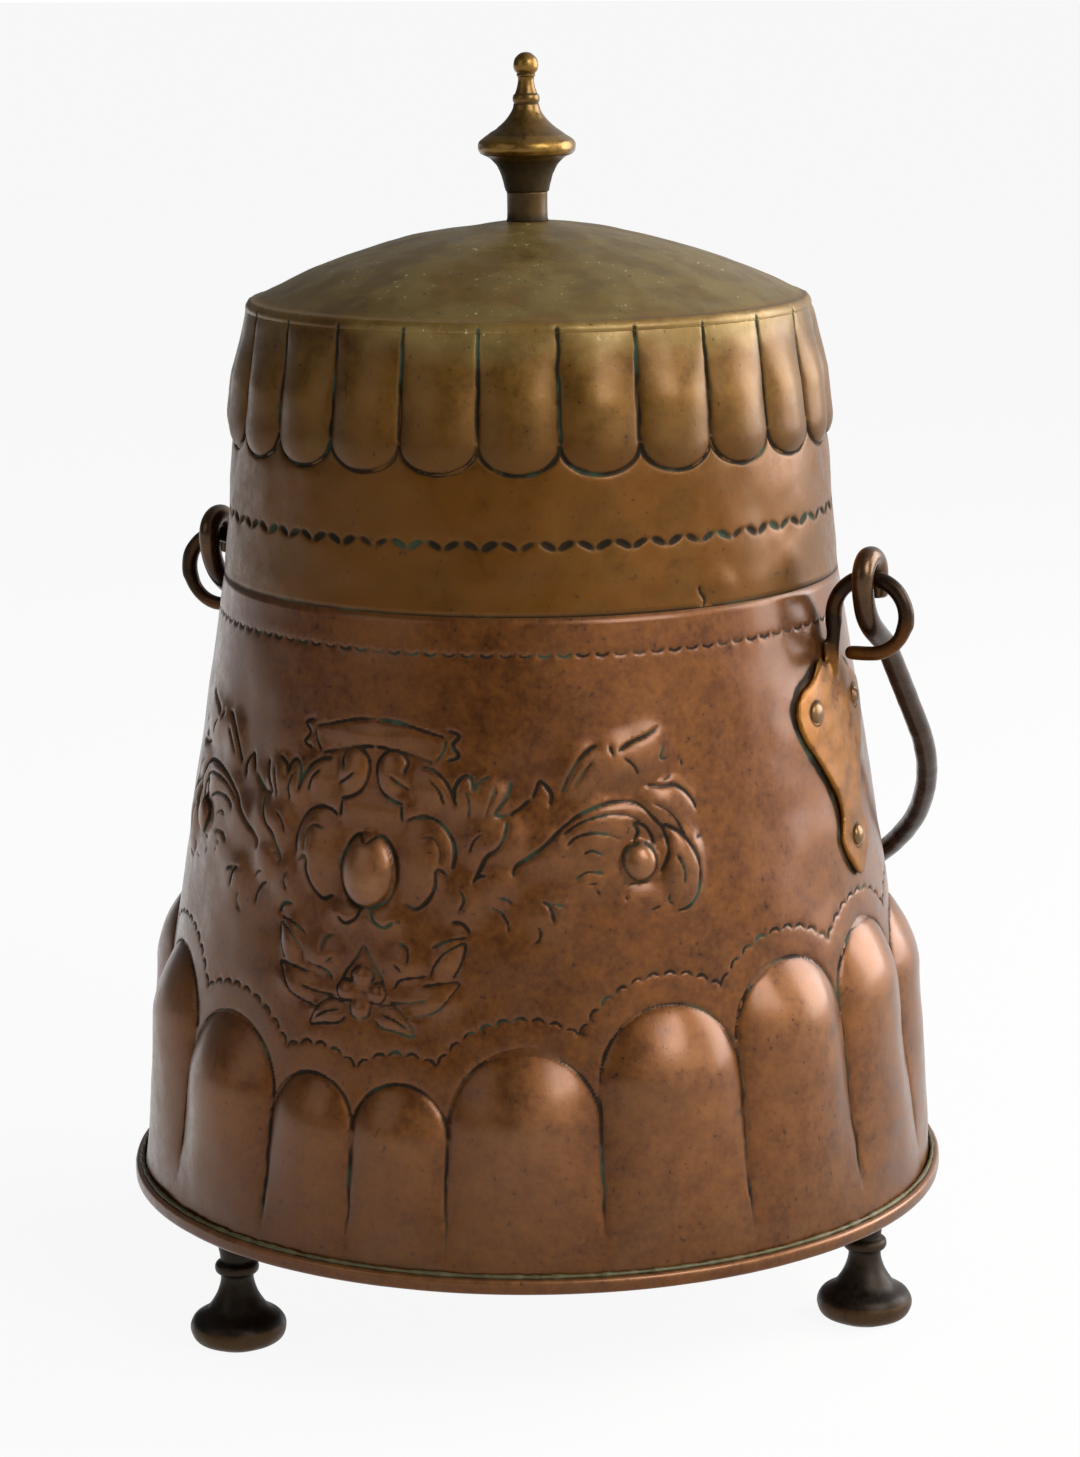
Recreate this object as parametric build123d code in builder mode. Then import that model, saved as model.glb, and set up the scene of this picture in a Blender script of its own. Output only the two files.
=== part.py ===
from build123d import *
import os
from math import asin, atan, atan2, cos, degrees, hypot, radians, sin, sqrt

# Charcoal extinguisher: a copper cone on three turned feet, closed by a brass lid with a
# finial, and carried by one bail that hooks into two riveted brackets.
# Millimetres. +Z is up and the feet stand on Z = 0, with the pot's axis on Z. The decorated
# front looks towards -Y and the brackets stand on the X axis.
# Angles round the pot count from the front, -Y, towards +X.

# Feet
foot_height = 49.2
foot_circle_radius = 144.6
foot_angles = {"foot_front_left": -29.5, "foot_right": 90.5, "foot_back_left": 210.5}
foot_sole_radius = 12.0
foot_belly_radius = 19.0
foot_belly_height = 7.0
foot_waist_radius = 11.5
foot_waist_height = 15.0
foot_neck_radius = 6.5
foot_neck_height = 26.0
foot_bead_radius = 8.7
foot_bead_height = 5.6
foot_collar_radius = 10.0
foot_collar_height = 4.0
tenon_radius = 4.0
tenon_head_radius = 6.4
tenon_head_height = 2.2
foot_washer_radius = 8.5
foot_washer_thickness = 1.6

# Copper body and base
copper_sheet = 1.4
base_radius = 162.4
body_rise = 246.9
rim_overhang = 3.6
hem_gap = 0.1
hem_lip_gap = 0.5
rim_rounding = 1.1
solder_height = 2.2
solder_width = 2.1
solder_gap = 0.15

# Neck that the lid slips over, rolled round a wire at its top edge
lid_edge_radius = 122.7
lid_clearance = 0.3
neck_rise = 42.5
neck_bead_gap = 0.6
neck_wire_radius = 1.3

# Gadroons: embossed bulges round the foot of the body
narrow_pitch = 14.4
wide_count = 7
gadroon_low_top = 67.4
gadroon_swag = 48.0
gadroon_foot = 6.5
gadroon_headroom = 3.0
wide_bulge = 8.2
narrow_bulge = 5.0
ornament_turn = -1.0

# Brass lid
brass_sheet = 1.2
lid_waist_rise = 50.5
lid_waist_radius = 118.4
lid_shoulder_rise = 104.0
lid_shoulder_radius = 111.8
lid_flange_width = 6.0
lobe_count = 24
lobe_foot_rise = 52.1
lobe_arch_height = 11.0
lobe_full_rise = 79.0
lobe_bulge = 3.7
lobe_turn = 1.4
crown_overhang = 0.5
crown_brim_width = 3.0
crown_edge_rise = 4.4
crown_edge_run = 4.6
crown_rise = 32.9
crown_dome_radius = 244.0
crown_seat_radius = 9.5

# Finial
ferrule_radius = 8.1
ferrule_height = 11.6
stem_radius = 3.0
stem_clearance = 0.05
cup_height = 14.5
cup_foot_radius = 8.5
cup_waist_radius = 11.8
disc_radius = 19.2
disc_height = 6.3
spire_radius = 5.0
spire_height = 13.0
ring_radius = 5.3
ring_height = 4.2
throat_radius = 3.2
throat_height = 7.6
ball_radius = 4.9
finial_washer_radius = 9.0
finial_washer_thickness = 2.0
stem_head_radius = 5.5
stem_head_height = 2.0

# Brackets: a plate riveted to the cone, drawn out into a rod that is curled into an eye
plate_thickness = 2.2
plate_gap = 0.15
plate_outline = [
    (0.0, 114.0),
    (8.0, 107.5),
    (12.8, 98.5),
    (10.0, 89.5),
    (14.5, 75.5),
    (25.0, 61.5),
    (31.4, 47.0),
    (26.5, 37.6),
    (16.0, 32.5),
    (8.0, 27.0),
    (4.8, 21.5),
]
eye_centre_radius = 145.0
eye_drop = 11.2
eye_mean_radius = 14.9
eye_rod_radius = 3.2
eye_tail = 7.5
eye_root_drop = 36.0
eye_root_radius = 1.6
rivet_side_offset = 19.4
rivet_upper_drop = 47.0
rivet_lower_drop = 98.5
rivet_radius = 2.2
rivet_head_radius = 3.7
rivet_head_height = 2.3
rivet_clearance = 0.05
rivet_turn = 20.0
rove_radius = 4.6
rove_thickness = 1.2
rove_gap = 0.3

# Bail
bail_rod_radius = 4.4
hook_gap = 0.4
hook_tip_length = 9.0
hook_neck_radius = 24.0
hook_neck_turn = 58.0
hook_neck_length = 12.0
hook_back_radius = 40.0
hook_back_turn = 15.0
bail_drop = 231.5
bail_rest_gap = 0.3

# Heights and slopes that follow from the sizes above
body_floor = foot_height + copper_sheet
seat_height = body_floor + body_rise
cone_slope = (base_radius - lid_edge_radius) / body_rise
cone_angle = degrees(atan(cone_slope))
wide_pitch = (180 - 2 * narrow_pitch) / wide_count
gadroon_foot_height = body_floor + gadroon_foot
shoulder_height = seat_height + lid_shoulder_rise
crown_height = shoulder_height + crown_rise
eye_height = seat_height - eye_drop
hinge_height = eye_height + eye_mean_radius
flange_radius = base_radius + rim_overhang - copper_sheet - hem_gap
rim_radius = base_radius + rim_overhang


def cone_radius(height):
    """Outer radius of the plain copper cone at a height above the floor."""
    return lid_edge_radius + cone_slope * (seat_height - height)


def place(radius, angle, height=0.0):
    """A point at a radius and an angle from the front."""
    return (radius * sin(radians(angle)), -radius * cos(radians(angle)), height)


def dome(inside):
    """Rounded swelling: 1 at the middle and 0 from where inside reaches 1."""
    return max(0.0, 1.0 - inside)


# Each gadroon has a centre angle, a half width in degrees, and how far it stands out. Two
# narrow ones meet at the front and two at the back, with the wide ones between them.
gadroons = []
for end in (0, 180):
    for side in (-1, 1):
        gadroons.append((end + side * narrow_pitch / 2, narrow_pitch / 2, narrow_bulge))
for side in (-1, 1):
    for step in range(wide_count):
        centre = side * (narrow_pitch + (step + 0.5) * wide_pitch)
        gadroons.append((centre, wide_pitch / 2, wide_bulge))
gadroons.sort()


def gadroon_rise(centre, half_angle, bulge, across, height):
    """How far one gadroon stands out at a height, across its width from -1 to 1."""
    top = body_floor + gadroon_low_top + gadroon_swag * abs(sin(radians(centre)))
    arch = radians(half_angle) * cone_radius(top)
    shoulder = top - arch
    over_arch = max(0.0, (height - shoulder) / arch)
    fade = (height - gadroon_foot_height) / (shoulder - gadroon_foot_height)
    fade = min(1.0, max(0.0, fade))
    return bulge * fade * dome(across**2 + over_arch**2)


def body_ring(height, inset):
    """Points round the body's wall at a height, set in from its outer face."""
    points = []
    for centre, half_angle, bulge in gadroons:
        for across in (-1.0, -0.8, -0.4, 0.0, 0.4, 0.8):
            rise = gadroon_rise(centre, half_angle, bulge, across, height)
            angle = centre + across * half_angle + ornament_turn
            points.append(place(cone_radius(height) + rise - inset, angle)[:2])
    return points


def skirt_radius(height):
    """Outer radius of the plain lid skirt: a slow cone to its waist, then a faster one."""
    rise = height - seat_height
    if rise <= lid_waist_rise:
        share = rise / lid_waist_rise
        return lid_edge_radius + share * (lid_waist_radius - lid_edge_radius)
    share = (rise - lid_waist_rise) / (lid_shoulder_rise - lid_waist_rise)
    return lid_waist_radius + share * (lid_shoulder_radius - lid_waist_radius)


def lid_ring(height, inset):
    """Points round the lid's skirt at a height, with its lobes, set in from its outer face."""
    rise = height - seat_height
    under_arch = max(0.0, (lobe_foot_rise + lobe_arch_height - rise) / lobe_arch_height)
    fade = (lid_shoulder_rise - rise) / (lid_shoulder_rise - lobe_full_rise)
    fade = min(1.0, max(0.0, fade))
    half_angle = 180 / lobe_count
    points = []
    for lobe in range(lobe_count):
        for across in (-1.0, -0.6, 0.0, 0.6):
            swell = lobe_bulge * fade * dome(across**2 + under_arch**2)
            angle = (2 * lobe + 1 + across) * half_angle + lobe_turn
            points.append(place(skirt_radius(height) + swell - inset, angle)[:2])
    return points


def levels(low, high, count):
    """Evenly spaced heights from low to high."""
    return [low + (high - low) * step / count for step in range(count + 1)]


# Rivets sit square to the cone: two side by side in the bracket's bulge and one in its tail
rivet_spots = [
    (-rivet_side_offset, rivet_upper_drop),
    (rivet_side_offset, rivet_upper_drop),
    (0.0, rivet_lower_drop),
]


def rivet_planes(side):
    """Planes on the cone's outer face, one at each rivet, with their normal outwards."""
    planes = []
    for offset, drop in rivet_spots:
        height = seat_height - drop
        radius = cone_radius(height)
        turn = 90 * side + degrees(offset / radius)
        tilt = radians(cone_angle)
        out = Vector(*place(cos(tilt), turn, sin(tilt)))
        around = Vector(*place(1, turn + 90))
        up = out.cross(around)
        across = around * cos(radians(rivet_turn)) + up * sin(radians(rivet_turn))
        planes.append(Plane(origin=place(radius, turn, height), x_dir=across, z_dir=out))
    return planes


# Body: a cone raised from copper sheet, embossed with gadroons, flanged outwards at its foot
# and jogged in by the lid's thickness at its neck, whose edge is rolled round a wire.
plain_wall_low = body_floor + gadroon_low_top + gadroon_swag + gadroon_headroom
body_heights = levels(body_floor, plain_wall_low, 14) + levels(plain_wall_low, seat_height, 2)[1:]
neck_radius = lid_edge_radius - brass_sheet - lid_clearance
neck_top = seat_height + neck_rise
step_low = seat_height - copper_sheet
step_outer_radius = lid_edge_radius - copper_sheet / 3
bead_radius = neck_wire_radius + copper_sheet
bead_centre = skirt_radius(neck_top) - brass_sheet - neck_bead_gap - bead_radius
neck_top_radius = bead_centre - bead_radius + copper_sheet

with BuildPart() as body_shell:
    for inset, mode in ((0, Mode.ADD), (copper_sheet, Mode.SUBTRACT)):
        for height in body_heights:
            with BuildSketch(Plane.XY.offset(height)):
                with BuildLine():
                    Spline(*body_ring(height, inset), periodic=True)
                make_face()
        loft(ruled=True, mode=mode)
    with BuildSketch(Plane.XZ):
        with BuildLine():
            Polyline(
                (base_radius - copper_sheet / 2, body_floor),
                (flange_radius, body_floor),
                (flange_radius, body_floor + 2 * copper_sheet),
                (base_radius - copper_sheet / 2, body_floor + 2 * copper_sheet),
                close=True,
            )
        make_face()
        with BuildLine():
            Polyline(
                (neck_radius, seat_height),
                (neck_top_radius, neck_top),
                (neck_top_radius - copper_sheet, neck_top),
                (neck_radius - copper_sheet, step_low),
                (step_outer_radius, step_low),
                (step_outer_radius, seat_height),
                close=True,
            )
        make_face()
        with Locations((bead_centre, neck_top)):
            Circle(bead_radius)
    revolve(axis=Axis.Z)
    with BuildSketch(Plane.XZ):
        with Locations((bead_centre, neck_top)):
            Circle(neck_wire_radius)
    revolve(axis=Axis.Z, mode=Mode.SUBTRACT)
    for side in (-1, 1):
        for plane in rivet_planes(side):
            with BuildSketch(plane.offset(2 * copper_sheet)):
                Circle(rivet_radius + rivet_clearance)
            extrude(amount=-5 * copper_sheet, mode=Mode.SUBTRACT)

# Iron wire inside the rolled neck edge
with BuildPart() as neck_wire:
    with BuildSketch(Plane.XZ):
        with Locations((bead_centre, neck_top)):
            Circle(neck_wire_radius - hem_gap)
    revolve(axis=Axis.Z)

# Base: a copper disc whose edge is folded up and over the body's flange
lip_low = body_floor + 2 * copper_sheet + hem_gap
lip_top = lip_low + copper_sheet
lip_radius = cone_radius(lip_low) + hem_lip_gap

with BuildPart() as base_plate:
    with BuildSketch(Plane.XZ):
        with BuildLine():
            Polyline(
                (0, foot_height),
                (rim_radius, foot_height),
                (rim_radius, lip_top),
                (lip_radius, lip_top),
                (lip_radius, lip_low),
                (rim_radius - copper_sheet, lip_low),
                (rim_radius - copper_sheet, body_floor),
                (0, body_floor),
                close=True,
            )
        make_face()
    revolve(axis=Axis.Z)
    rim_edges = base_plate.edges().filter_by(GeomType.CIRCLE).group_by(SortBy.RADIUS)[-1]
    fillet(rim_edges, rim_rounding)
    for angle in foot_angles.values():
        with Locations(place(foot_circle_radius, angle, foot_height)):
            Cylinder(
                tenon_radius + stem_clearance,
                3 * copper_sheet,
                mode=Mode.SUBTRACT,
            )

# Soft solder run into the corner between the body and the folded rim
solder_inner = cone_radius(lip_top) + solder_gap
with BuildPart() as base_solder_bead:
    with BuildSketch(Plane.XZ):
        with BuildLine():
            Polyline(
                (solder_inner, lip_top),
                (solder_inner + solder_width, lip_top),
                (solder_inner, lip_top + solder_height),
                close=True,
            )
        make_face()
    revolve(axis=Axis.Z)

# Feet: turned bronze, each with a tenon through the base, a washer, and a peened head
washer_top = body_floor + foot_washer_thickness


def turned_foot(angle):
    """One foot, standing under the base at an angle from the front."""
    stand = Plane(
        origin=place(foot_circle_radius, angle),
        x_dir=place(1, angle),
        z_dir=place(1, angle - 90),
    )
    bead_low = foot_neck_height + foot_bead_height / 2
    bead_high = bead_low + foot_bead_height
    collar_low = foot_height - foot_collar_height
    with BuildPart() as foot:
        with BuildSketch(stand):
            with BuildLine():
                Line((0, 0), (foot_sole_radius, 0))
                sole = Spline(
                    (foot_sole_radius, 0),
                    (foot_belly_radius, foot_belly_height),
                    tangents=((1, 0.3), (0, 1)),
                )
                neck = Spline(
                    sole @ 1,
                    (foot_waist_radius, foot_waist_height),
                    (foot_neck_radius, foot_neck_height),
                    tangents=((0, 1), (0, 1)),
                )
                Line(neck @ 1, (foot_neck_radius, bead_low))
                ThreePointArc(
                    (foot_neck_radius, bead_low),
                    (foot_bead_radius, (bead_low + bead_high) / 2),
                    (foot_neck_radius, bead_high),
                )
                flare = Spline(
                    (foot_neck_radius, bead_high),
                    (foot_collar_radius, collar_low),
                    tangents=((0, 1), (1, 0.6)),
                )
                Polyline(flare @ 1, (foot_collar_radius, foot_height), (0, foot_height), (0, 0))
            make_face()
            with BuildLine():
                Polyline(
                    (0, foot_height - 1),
                    (tenon_radius, foot_height - 1),
                    (tenon_radius, washer_top),
                    (tenon_head_radius, washer_top),
                )
                head_top = (0, washer_top + tenon_head_height)
                TangentArc(head_top, (tenon_head_radius, washer_top), tangent=(1, 0))
                Line(head_top, (0, foot_height - 1))
            make_face()
        revolve(axis=Axis(stand.origin, (0, 0, 1)))
    return foot


feet = {name: turned_foot(angle) for name, angle in foot_angles.items()}

with BuildPart() as foot_washers:
    for angle in foot_angles.values():
        with BuildSketch(Plane.XY.offset(body_floor)):
            with Locations(place(foot_circle_radius, angle)[:2]):
                Circle(foot_washer_radius)
                Circle(tenon_radius + stem_clearance, mode=Mode.SUBTRACT)
        extrude(amount=foot_washer_thickness)

# Lid skirt: rolled brass sheet with a row of lobes beaten out under the shoulder, and its
# top edge turned inwards to carry the crown
lobe_heights = levels(seat_height + lobe_foot_rise, shoulder_height, 10)
skirt_heights = [seat_height, seat_height + lid_waist_rise] + lobe_heights
flange_inner = lid_shoulder_radius - brass_sheet / 2 - lid_flange_width

with BuildPart() as lid_skirt:
    for inset, mode in ((0, Mode.ADD), (brass_sheet, Mode.SUBTRACT)):
        for height in skirt_heights:
            with BuildSketch(Plane.XY.offset(height)):
                with BuildLine():
                    Spline(*lid_ring(height, inset), periodic=True)
                make_face()
        loft(ruled=True, mode=mode)
    with BuildSketch(Plane.XY.offset(shoulder_height)):
        Circle(lid_shoulder_radius - brass_sheet / 2)
        Circle(flange_inner, mode=Mode.SUBTRACT)
    extrude(amount=-brass_sheet)

# Lid crown: a shallow dome brazed on the skirt's inward flange
crown_radius = lid_shoulder_radius + crown_overhang
dome_start = (crown_radius - crown_edge_run, shoulder_height + crown_edge_rise)
stem_bore = stem_radius + stem_clearance
with BuildPart() as lid_crown:
    with BuildSketch(Plane.XZ):
        with BuildLine():
            Line((crown_radius, shoulder_height), (crown_radius, shoulder_height + brass_sheet))
            edge = ThreePointArc(
                (crown_radius, shoulder_height + brass_sheet),
                (crown_radius - crown_edge_run * 0.36, shoulder_height + crown_edge_rise * 0.72),
                dome_start,
            )
            dome_line = RadiusArc(edge @ 1, (crown_seat_radius, crown_height), -crown_dome_radius)
            Line(dome_line @ 1, (stem_bore, crown_height))
            Line((stem_bore, crown_height), (stem_bore, crown_height - brass_sheet))
            Line(
                (stem_bore, crown_height - brass_sheet),
                (crown_seat_radius, crown_height - brass_sheet),
            )
            inner_dome = RadiusArc(
                (crown_seat_radius, crown_height - brass_sheet),
                (dome_start[0] - brass_sheet, dome_start[1] - brass_sheet),
                crown_dome_radius,
            )
            Polyline(
                inner_dome @ 1,
                (crown_radius - crown_brim_width, shoulder_height),
                (crown_radius, shoulder_height),
            )
        make_face()
    revolve(axis=Axis.Z)

# Finial: a short ferrule under a turned knob, whose stem passes through the crown and is
# peened over a washer inside
ferrule_top = crown_height + ferrule_height
with BuildPart() as finial_ferrule:
    with BuildSketch(Plane.XY.offset(crown_height)):
        Circle(ferrule_radius)
        Circle(stem_bore, mode=Mode.SUBTRACT)
    extrude(amount=ferrule_height)

washer_low = crown_height - brass_sheet - finial_washer_thickness
with BuildPart() as finial_washer:
    with BuildSketch(Plane.XY.offset(washer_low)):
        Circle(finial_washer_radius)
        Circle(stem_bore, mode=Mode.SUBTRACT)
    extrude(amount=finial_washer_thickness)
    outer_edge = finial_washer.edges().group_by(Axis.Z)[0].sort_by(SortBy.RADIUS)[-1]
    chamfer(outer_edge, finial_washer_thickness / 4)

disc_low = ferrule_top + cup_height
disc_top = disc_low + disc_height
spire_top = disc_top + spire_height
ring_top = spire_top + ring_height
throat_top = ring_top + throat_height
throat_top_radius = throat_radius * 1.1
knob_top = throat_top + ball_radius + sqrt(ball_radius**2 - throat_top_radius**2)
with BuildPart() as finial_knob:
    with BuildSketch(Plane.XZ):
        with BuildLine():
            Line((0, ferrule_top), (cup_foot_radius, ferrule_top))
            cup = Spline(
                (cup_foot_radius, ferrule_top),
                (cup_waist_radius, ferrule_top + cup_height * 0.6),
                (disc_radius - 1, disc_low),
                tangents=((0.3, 1), (1, 0.6)),
            )
            disc = ThreePointArc(
                cup @ 1,
                (disc_radius, disc_low + disc_height * 0.45),
                (disc_radius - 2, disc_top),
            )
            spire = Spline(
                disc @ 1,
                (spire_radius * 2.1, disc_top + spire_height * 0.28),
                (spire_radius, spire_top),
                tangents=((-1, 0.35), (0, 1)),
            )
            ring = ThreePointArc(
                spire @ 1,
                (ring_radius, spire_top + ring_height / 2),
                (ring_radius * 0.83, ring_top),
            )
            throat = ThreePointArc(
                ring @ 1,
                (throat_radius, ring_top + throat_height * 0.8),
                (throat_top_radius, throat_top),
            )
            TangentArc((0, knob_top), throat @ 1, tangent=(1, 0))
            Line((0, knob_top), (0, ferrule_top))
        make_face()
        with BuildLine():
            Polyline(
                (0, ferrule_top + 1),
                (stem_radius, ferrule_top + 1),
                (stem_radius, washer_low),
                (stem_head_radius, washer_low),
            )
            head_low = (0, washer_low - stem_head_height)
            TangentArc(head_low, (stem_head_radius, washer_low), tangent=(1, 0))
            Line(head_low, (0, ferrule_top + 1))
        make_face()
    revolve(axis=Axis.Z)

# Brackets: the plate's outline is drawn on the side of the pot and cut from a conical
# shell; its neck runs into a round rod, curled outwards into an eye that is left open by a
# small gap beside the neck. Each point of the outline is a half width and a drop below the
# lid's edge.
plate_neck_half_width, plate_neck_drop = plate_outline[-1]
plate_top = seat_height - plate_neck_drop
plate_tip = seat_height - plate_outline[0][1]


def bracket(side):
    """The bracket on one side of the pot, side being 1 at +X and -1 at -X."""
    half_outline = [(width, seat_height - drop) for width, drop in plate_outline]
    stem_radius_out = eye_centre_radius - eye_mean_radius
    with BuildPart() as plate:
        with BuildSketch(Plane.YZ):
            with BuildLine():
                edge = Spline(*half_outline, tangents=((1, 0.25), (0, 1)))
                mirror(edge, about=Plane.YZ)
                Line((-plate_neck_half_width, plate_top), (plate_neck_half_width, plate_top))
            make_face()
        extrude(amount=side * 1.3 * base_radius)
        low = plate_tip - 5
        high = plate_top + 5
        with BuildSketch(Plane.XZ):
            with BuildLine():
                Polyline(
                    (cone_radius(low) + plate_gap, low),
                    (cone_radius(low) + plate_gap + plate_thickness, low),
                    (cone_radius(high) + plate_gap + plate_thickness, high),
                    (cone_radius(high) + plate_gap, high),
                    close=True,
                )
            make_face()
        revolve(axis=Axis.Z, mode=Mode.INTERSECT)
        with BuildLine() as eye_line:
            stem_low = plate_top + eye_rod_radius
            Line((side * stem_radius_out, 0, stem_low), (side * stem_radius_out, 0, eye_height))
            ThreePointArc(
                (side * stem_radius_out, 0, eye_height),
                (side * (eye_centre_radius + eye_mean_radius), 0, eye_height),
                (side * eye_centre_radius, 0, eye_height - eye_mean_radius),
            )
            Line(
                (side * eye_centre_radius, 0, eye_height - eye_mean_radius),
                (side * (eye_centre_radius - eye_tail), 0, eye_height - eye_mean_radius),
            )
        with BuildSketch(Plane.XY.offset(stem_low)):
            with Locations((side * stem_radius_out, 0)):
                Circle(eye_rod_radius)
        sweep(path=eye_line.line)
        root_low = seat_height - eye_root_drop
        with BuildSketch(Plane.XY.offset(stem_low)):
            with Locations((side * stem_radius_out, 0)):
                Circle(eye_rod_radius)
        with BuildSketch(Plane.XY.offset(root_low)):
            with Locations((side * (cone_radius(root_low) + plate_gap + eye_root_radius + 1), 0)):
                Circle(eye_root_radius)
        loft()
        for plane in rivet_planes(side):
            with BuildSketch(plane.offset(2 * plate_thickness)):
                Circle(rivet_radius + rivet_clearance)
            extrude(amount=-3 * plate_thickness, mode=Mode.SUBTRACT)
    return plate


bracket_right = bracket(1)
bracket_left = bracket(-1)


# Rivets: copper, each with a low domed head on the plate and a tail spread over a rove inside
rivet_seat = plate_gap + plate_thickness + plate_gap
rivet_tail = -(copper_sheet + rove_gap + rove_thickness + plate_gap)


def bracket_rivets(side):
    """The three rivets of one bracket."""
    with BuildPart() as rivets:
        for plane in rivet_planes(side):
            lengthwise = Plane(origin=plane.origin, x_dir=plane.x_dir, z_dir=-plane.y_dir)
            with BuildSketch(lengthwise):
                with BuildLine():
                    for seat, out in ((rivet_seat, 1), (rivet_tail, -1)):
                        Line((rivet_radius, seat), (rivet_head_radius, seat))
                        TangentArc(
                            (0, seat + out * rivet_head_height),
                            (rivet_head_radius, seat),
                            tangent=(1, 0),
                        )
                    Line((rivet_radius, rivet_seat), (rivet_radius, rivet_tail))
                    Line((0, rivet_seat + rivet_head_height), (0, rivet_tail - rivet_head_height))
                make_face()
            revolve(axis=Axis(plane.origin, plane.z_dir))
    return rivets


def rivet_roves(side):
    """The three small rings that the rivets of one bracket are closed over."""
    with BuildPart() as roves:
        for plane in rivet_planes(side):
            with BuildSketch(plane.offset(-copper_sheet - rove_gap)):
                Circle(rove_radius)
                Circle(rivet_radius + rivet_clearance, mode=Mode.SUBTRACT)
            extrude(amount=-rove_thickness)
    return roves


bracket_rivets_right = bracket_rivets(1)
bracket_rivets_left = bracket_rivets(-1)
rivet_roves_right = rivet_roves(1)
rivet_roves_left = rivet_roves(-1)

# Bail: one round rod. Each end turns back beside itself and hooks over the eye's top, and
# the middle is half a circle between two straight legs.
# The hook is drawn flat, for a bail that hangs straight down, with the hinge axis at the
# origin, x towards the pot's back and y up.
hook_radius = eye_rod_radius + hook_gap + bail_rod_radius
hook_set = hook_neck_turn - hook_back_turn
with BuildLine() as hook_line:
    strand = Vector(-sin(radians(hook_set)), -cos(radians(hook_set)))
    hook_start = Vector(-cos(radians(hook_set)), sin(radians(hook_set))) * hook_radius
    neck = JernArc(hook_start, strand, hook_neck_radius, hook_neck_turn)
    neck_straight = Line(neck @ 1, neck @ 1 + (neck % 1) * hook_neck_length)
    back = JernArc(neck_straight @ 1, neck_straight % 1, hook_back_radius, -hook_back_turn)
leg_top = back @ 1
leg_offset = -leg_top.X

# The bail comes to rest where its lowest stretch meets the back of the cone
reach = seat_height - hinge_height
contact = (bail_rod_radius + bail_rest_gap) / cos(radians(cone_angle))
contact += lid_edge_radius + cone_slope * reach
across_back = bail_drop - cone_slope * leg_offset
along_back = leg_offset + cone_slope * bail_drop
bail_lean = degrees(atan2(along_back, across_back) + asin(contact / hypot(across_back, along_back)))

lean = radians(bail_lean)
hook_plane = Plane(
    origin=(eye_centre_radius, 0, hinge_height),
    x_dir=(0, cos(lean), sin(lean)),
    z_dir=(1, 0, 0),
)
leg_low = hook_plane.from_local_coords(Vector(leg_top.X, -(bail_drop - eye_centre_radius), 0))
bottom = hook_plane.from_local_coords(Vector(leg_top.X, -bail_drop, -eye_centre_radius))
with BuildLine() as bail_line:
    tip_direction = Vector(-strand.X, -strand.Y)
    tip_top = Vector(-hook_start.X, -hook_start.Y)
    hook_top = tip_direction * hook_radius
    flat_tip = Line(tip_top + strand * hook_tip_length, tip_top, mode=Mode.PRIVATE)
    flat_loop = ThreePointArc(tip_top, hook_top, hook_start, mode=Mode.PRIVATE)
    half = [flat_tip, flat_loop] + list(hook_line.line.edges())
    right = [hook_plane.from_local_coords(piece) for piece in half]
    add(right)
    leg = Line(hook_plane.from_local_coords(leg_top), leg_low)
    mirror(right + [leg], about=Plane.YZ)
    ThreePointArc(leg_low, bottom, Vector(-leg_low.X, leg_low.Y, leg_low.Z))
bail_wire = bail_line.wire()
with BuildPart() as bail:
    with BuildSketch(Plane(origin=bail_wire @ 0, z_dir=bail_wire % 0)):
        Circle(bail_rod_radius)
    sweep(path=bail_wire)

parts = {
    "body_shell": body_shell,
    "neck_wire": neck_wire,
    "base_plate": base_plate,
    "base_solder_bead": base_solder_bead,
    "foot_washers": foot_washers,
    "bracket_right": bracket_right,
    "bracket_left": bracket_left,
    "bracket_rivets_right": bracket_rivets_right,
    "bracket_rivets_left": bracket_rivets_left,
    "rivet_roves_right": rivet_roves_right,
    "rivet_roves_left": rivet_roves_left,
    "bail": bail,
    "lid_skirt": lid_skirt,
    "lid_crown": lid_crown,
    "finial_knob": finial_knob,
    "finial_ferrule": finial_ferrule,
    "finial_washer": finial_washer,
}
parts.update(feet)

os.makedirs("parts", exist_ok=True)
for name, piece in parts.items():
    piece.part.label = name
    export_step(piece.part, f"parts/{name}.step")
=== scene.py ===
import bpy
import bmesh
from math import atan2, ceil, cos, degrees, hypot, pi, radians, sin, sqrt
from mathutils import Matrix, Vector, kdtree, noise


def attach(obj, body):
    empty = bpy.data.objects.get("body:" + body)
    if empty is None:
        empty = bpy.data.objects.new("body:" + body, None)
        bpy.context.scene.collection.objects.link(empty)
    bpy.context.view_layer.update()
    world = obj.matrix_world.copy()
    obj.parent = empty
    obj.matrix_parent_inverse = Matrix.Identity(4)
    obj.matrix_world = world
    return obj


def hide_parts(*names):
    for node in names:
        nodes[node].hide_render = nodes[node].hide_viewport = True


# All lengths are millimetres until a mesh is finished. Angles round the pot count from the
# front (-Y) towards +X, in degrees.
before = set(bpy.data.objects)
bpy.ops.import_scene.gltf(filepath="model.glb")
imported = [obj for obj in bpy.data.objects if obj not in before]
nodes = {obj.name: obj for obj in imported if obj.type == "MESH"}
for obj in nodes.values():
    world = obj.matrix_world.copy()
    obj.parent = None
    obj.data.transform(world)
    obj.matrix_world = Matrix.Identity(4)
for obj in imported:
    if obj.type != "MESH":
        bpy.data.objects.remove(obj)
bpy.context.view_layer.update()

# The pot's body. One sheet of copper, raised to a cone, beaten out from inside into a row of
# gadroons and a cartouche, and chased from outside with a blunt tracer. It is jogged in at
# its neck, where the lid slips over, and the neck's edge is rolled round a wire.
FLOOR_Z, SEAT_Z = 50.6, 297.5
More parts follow.
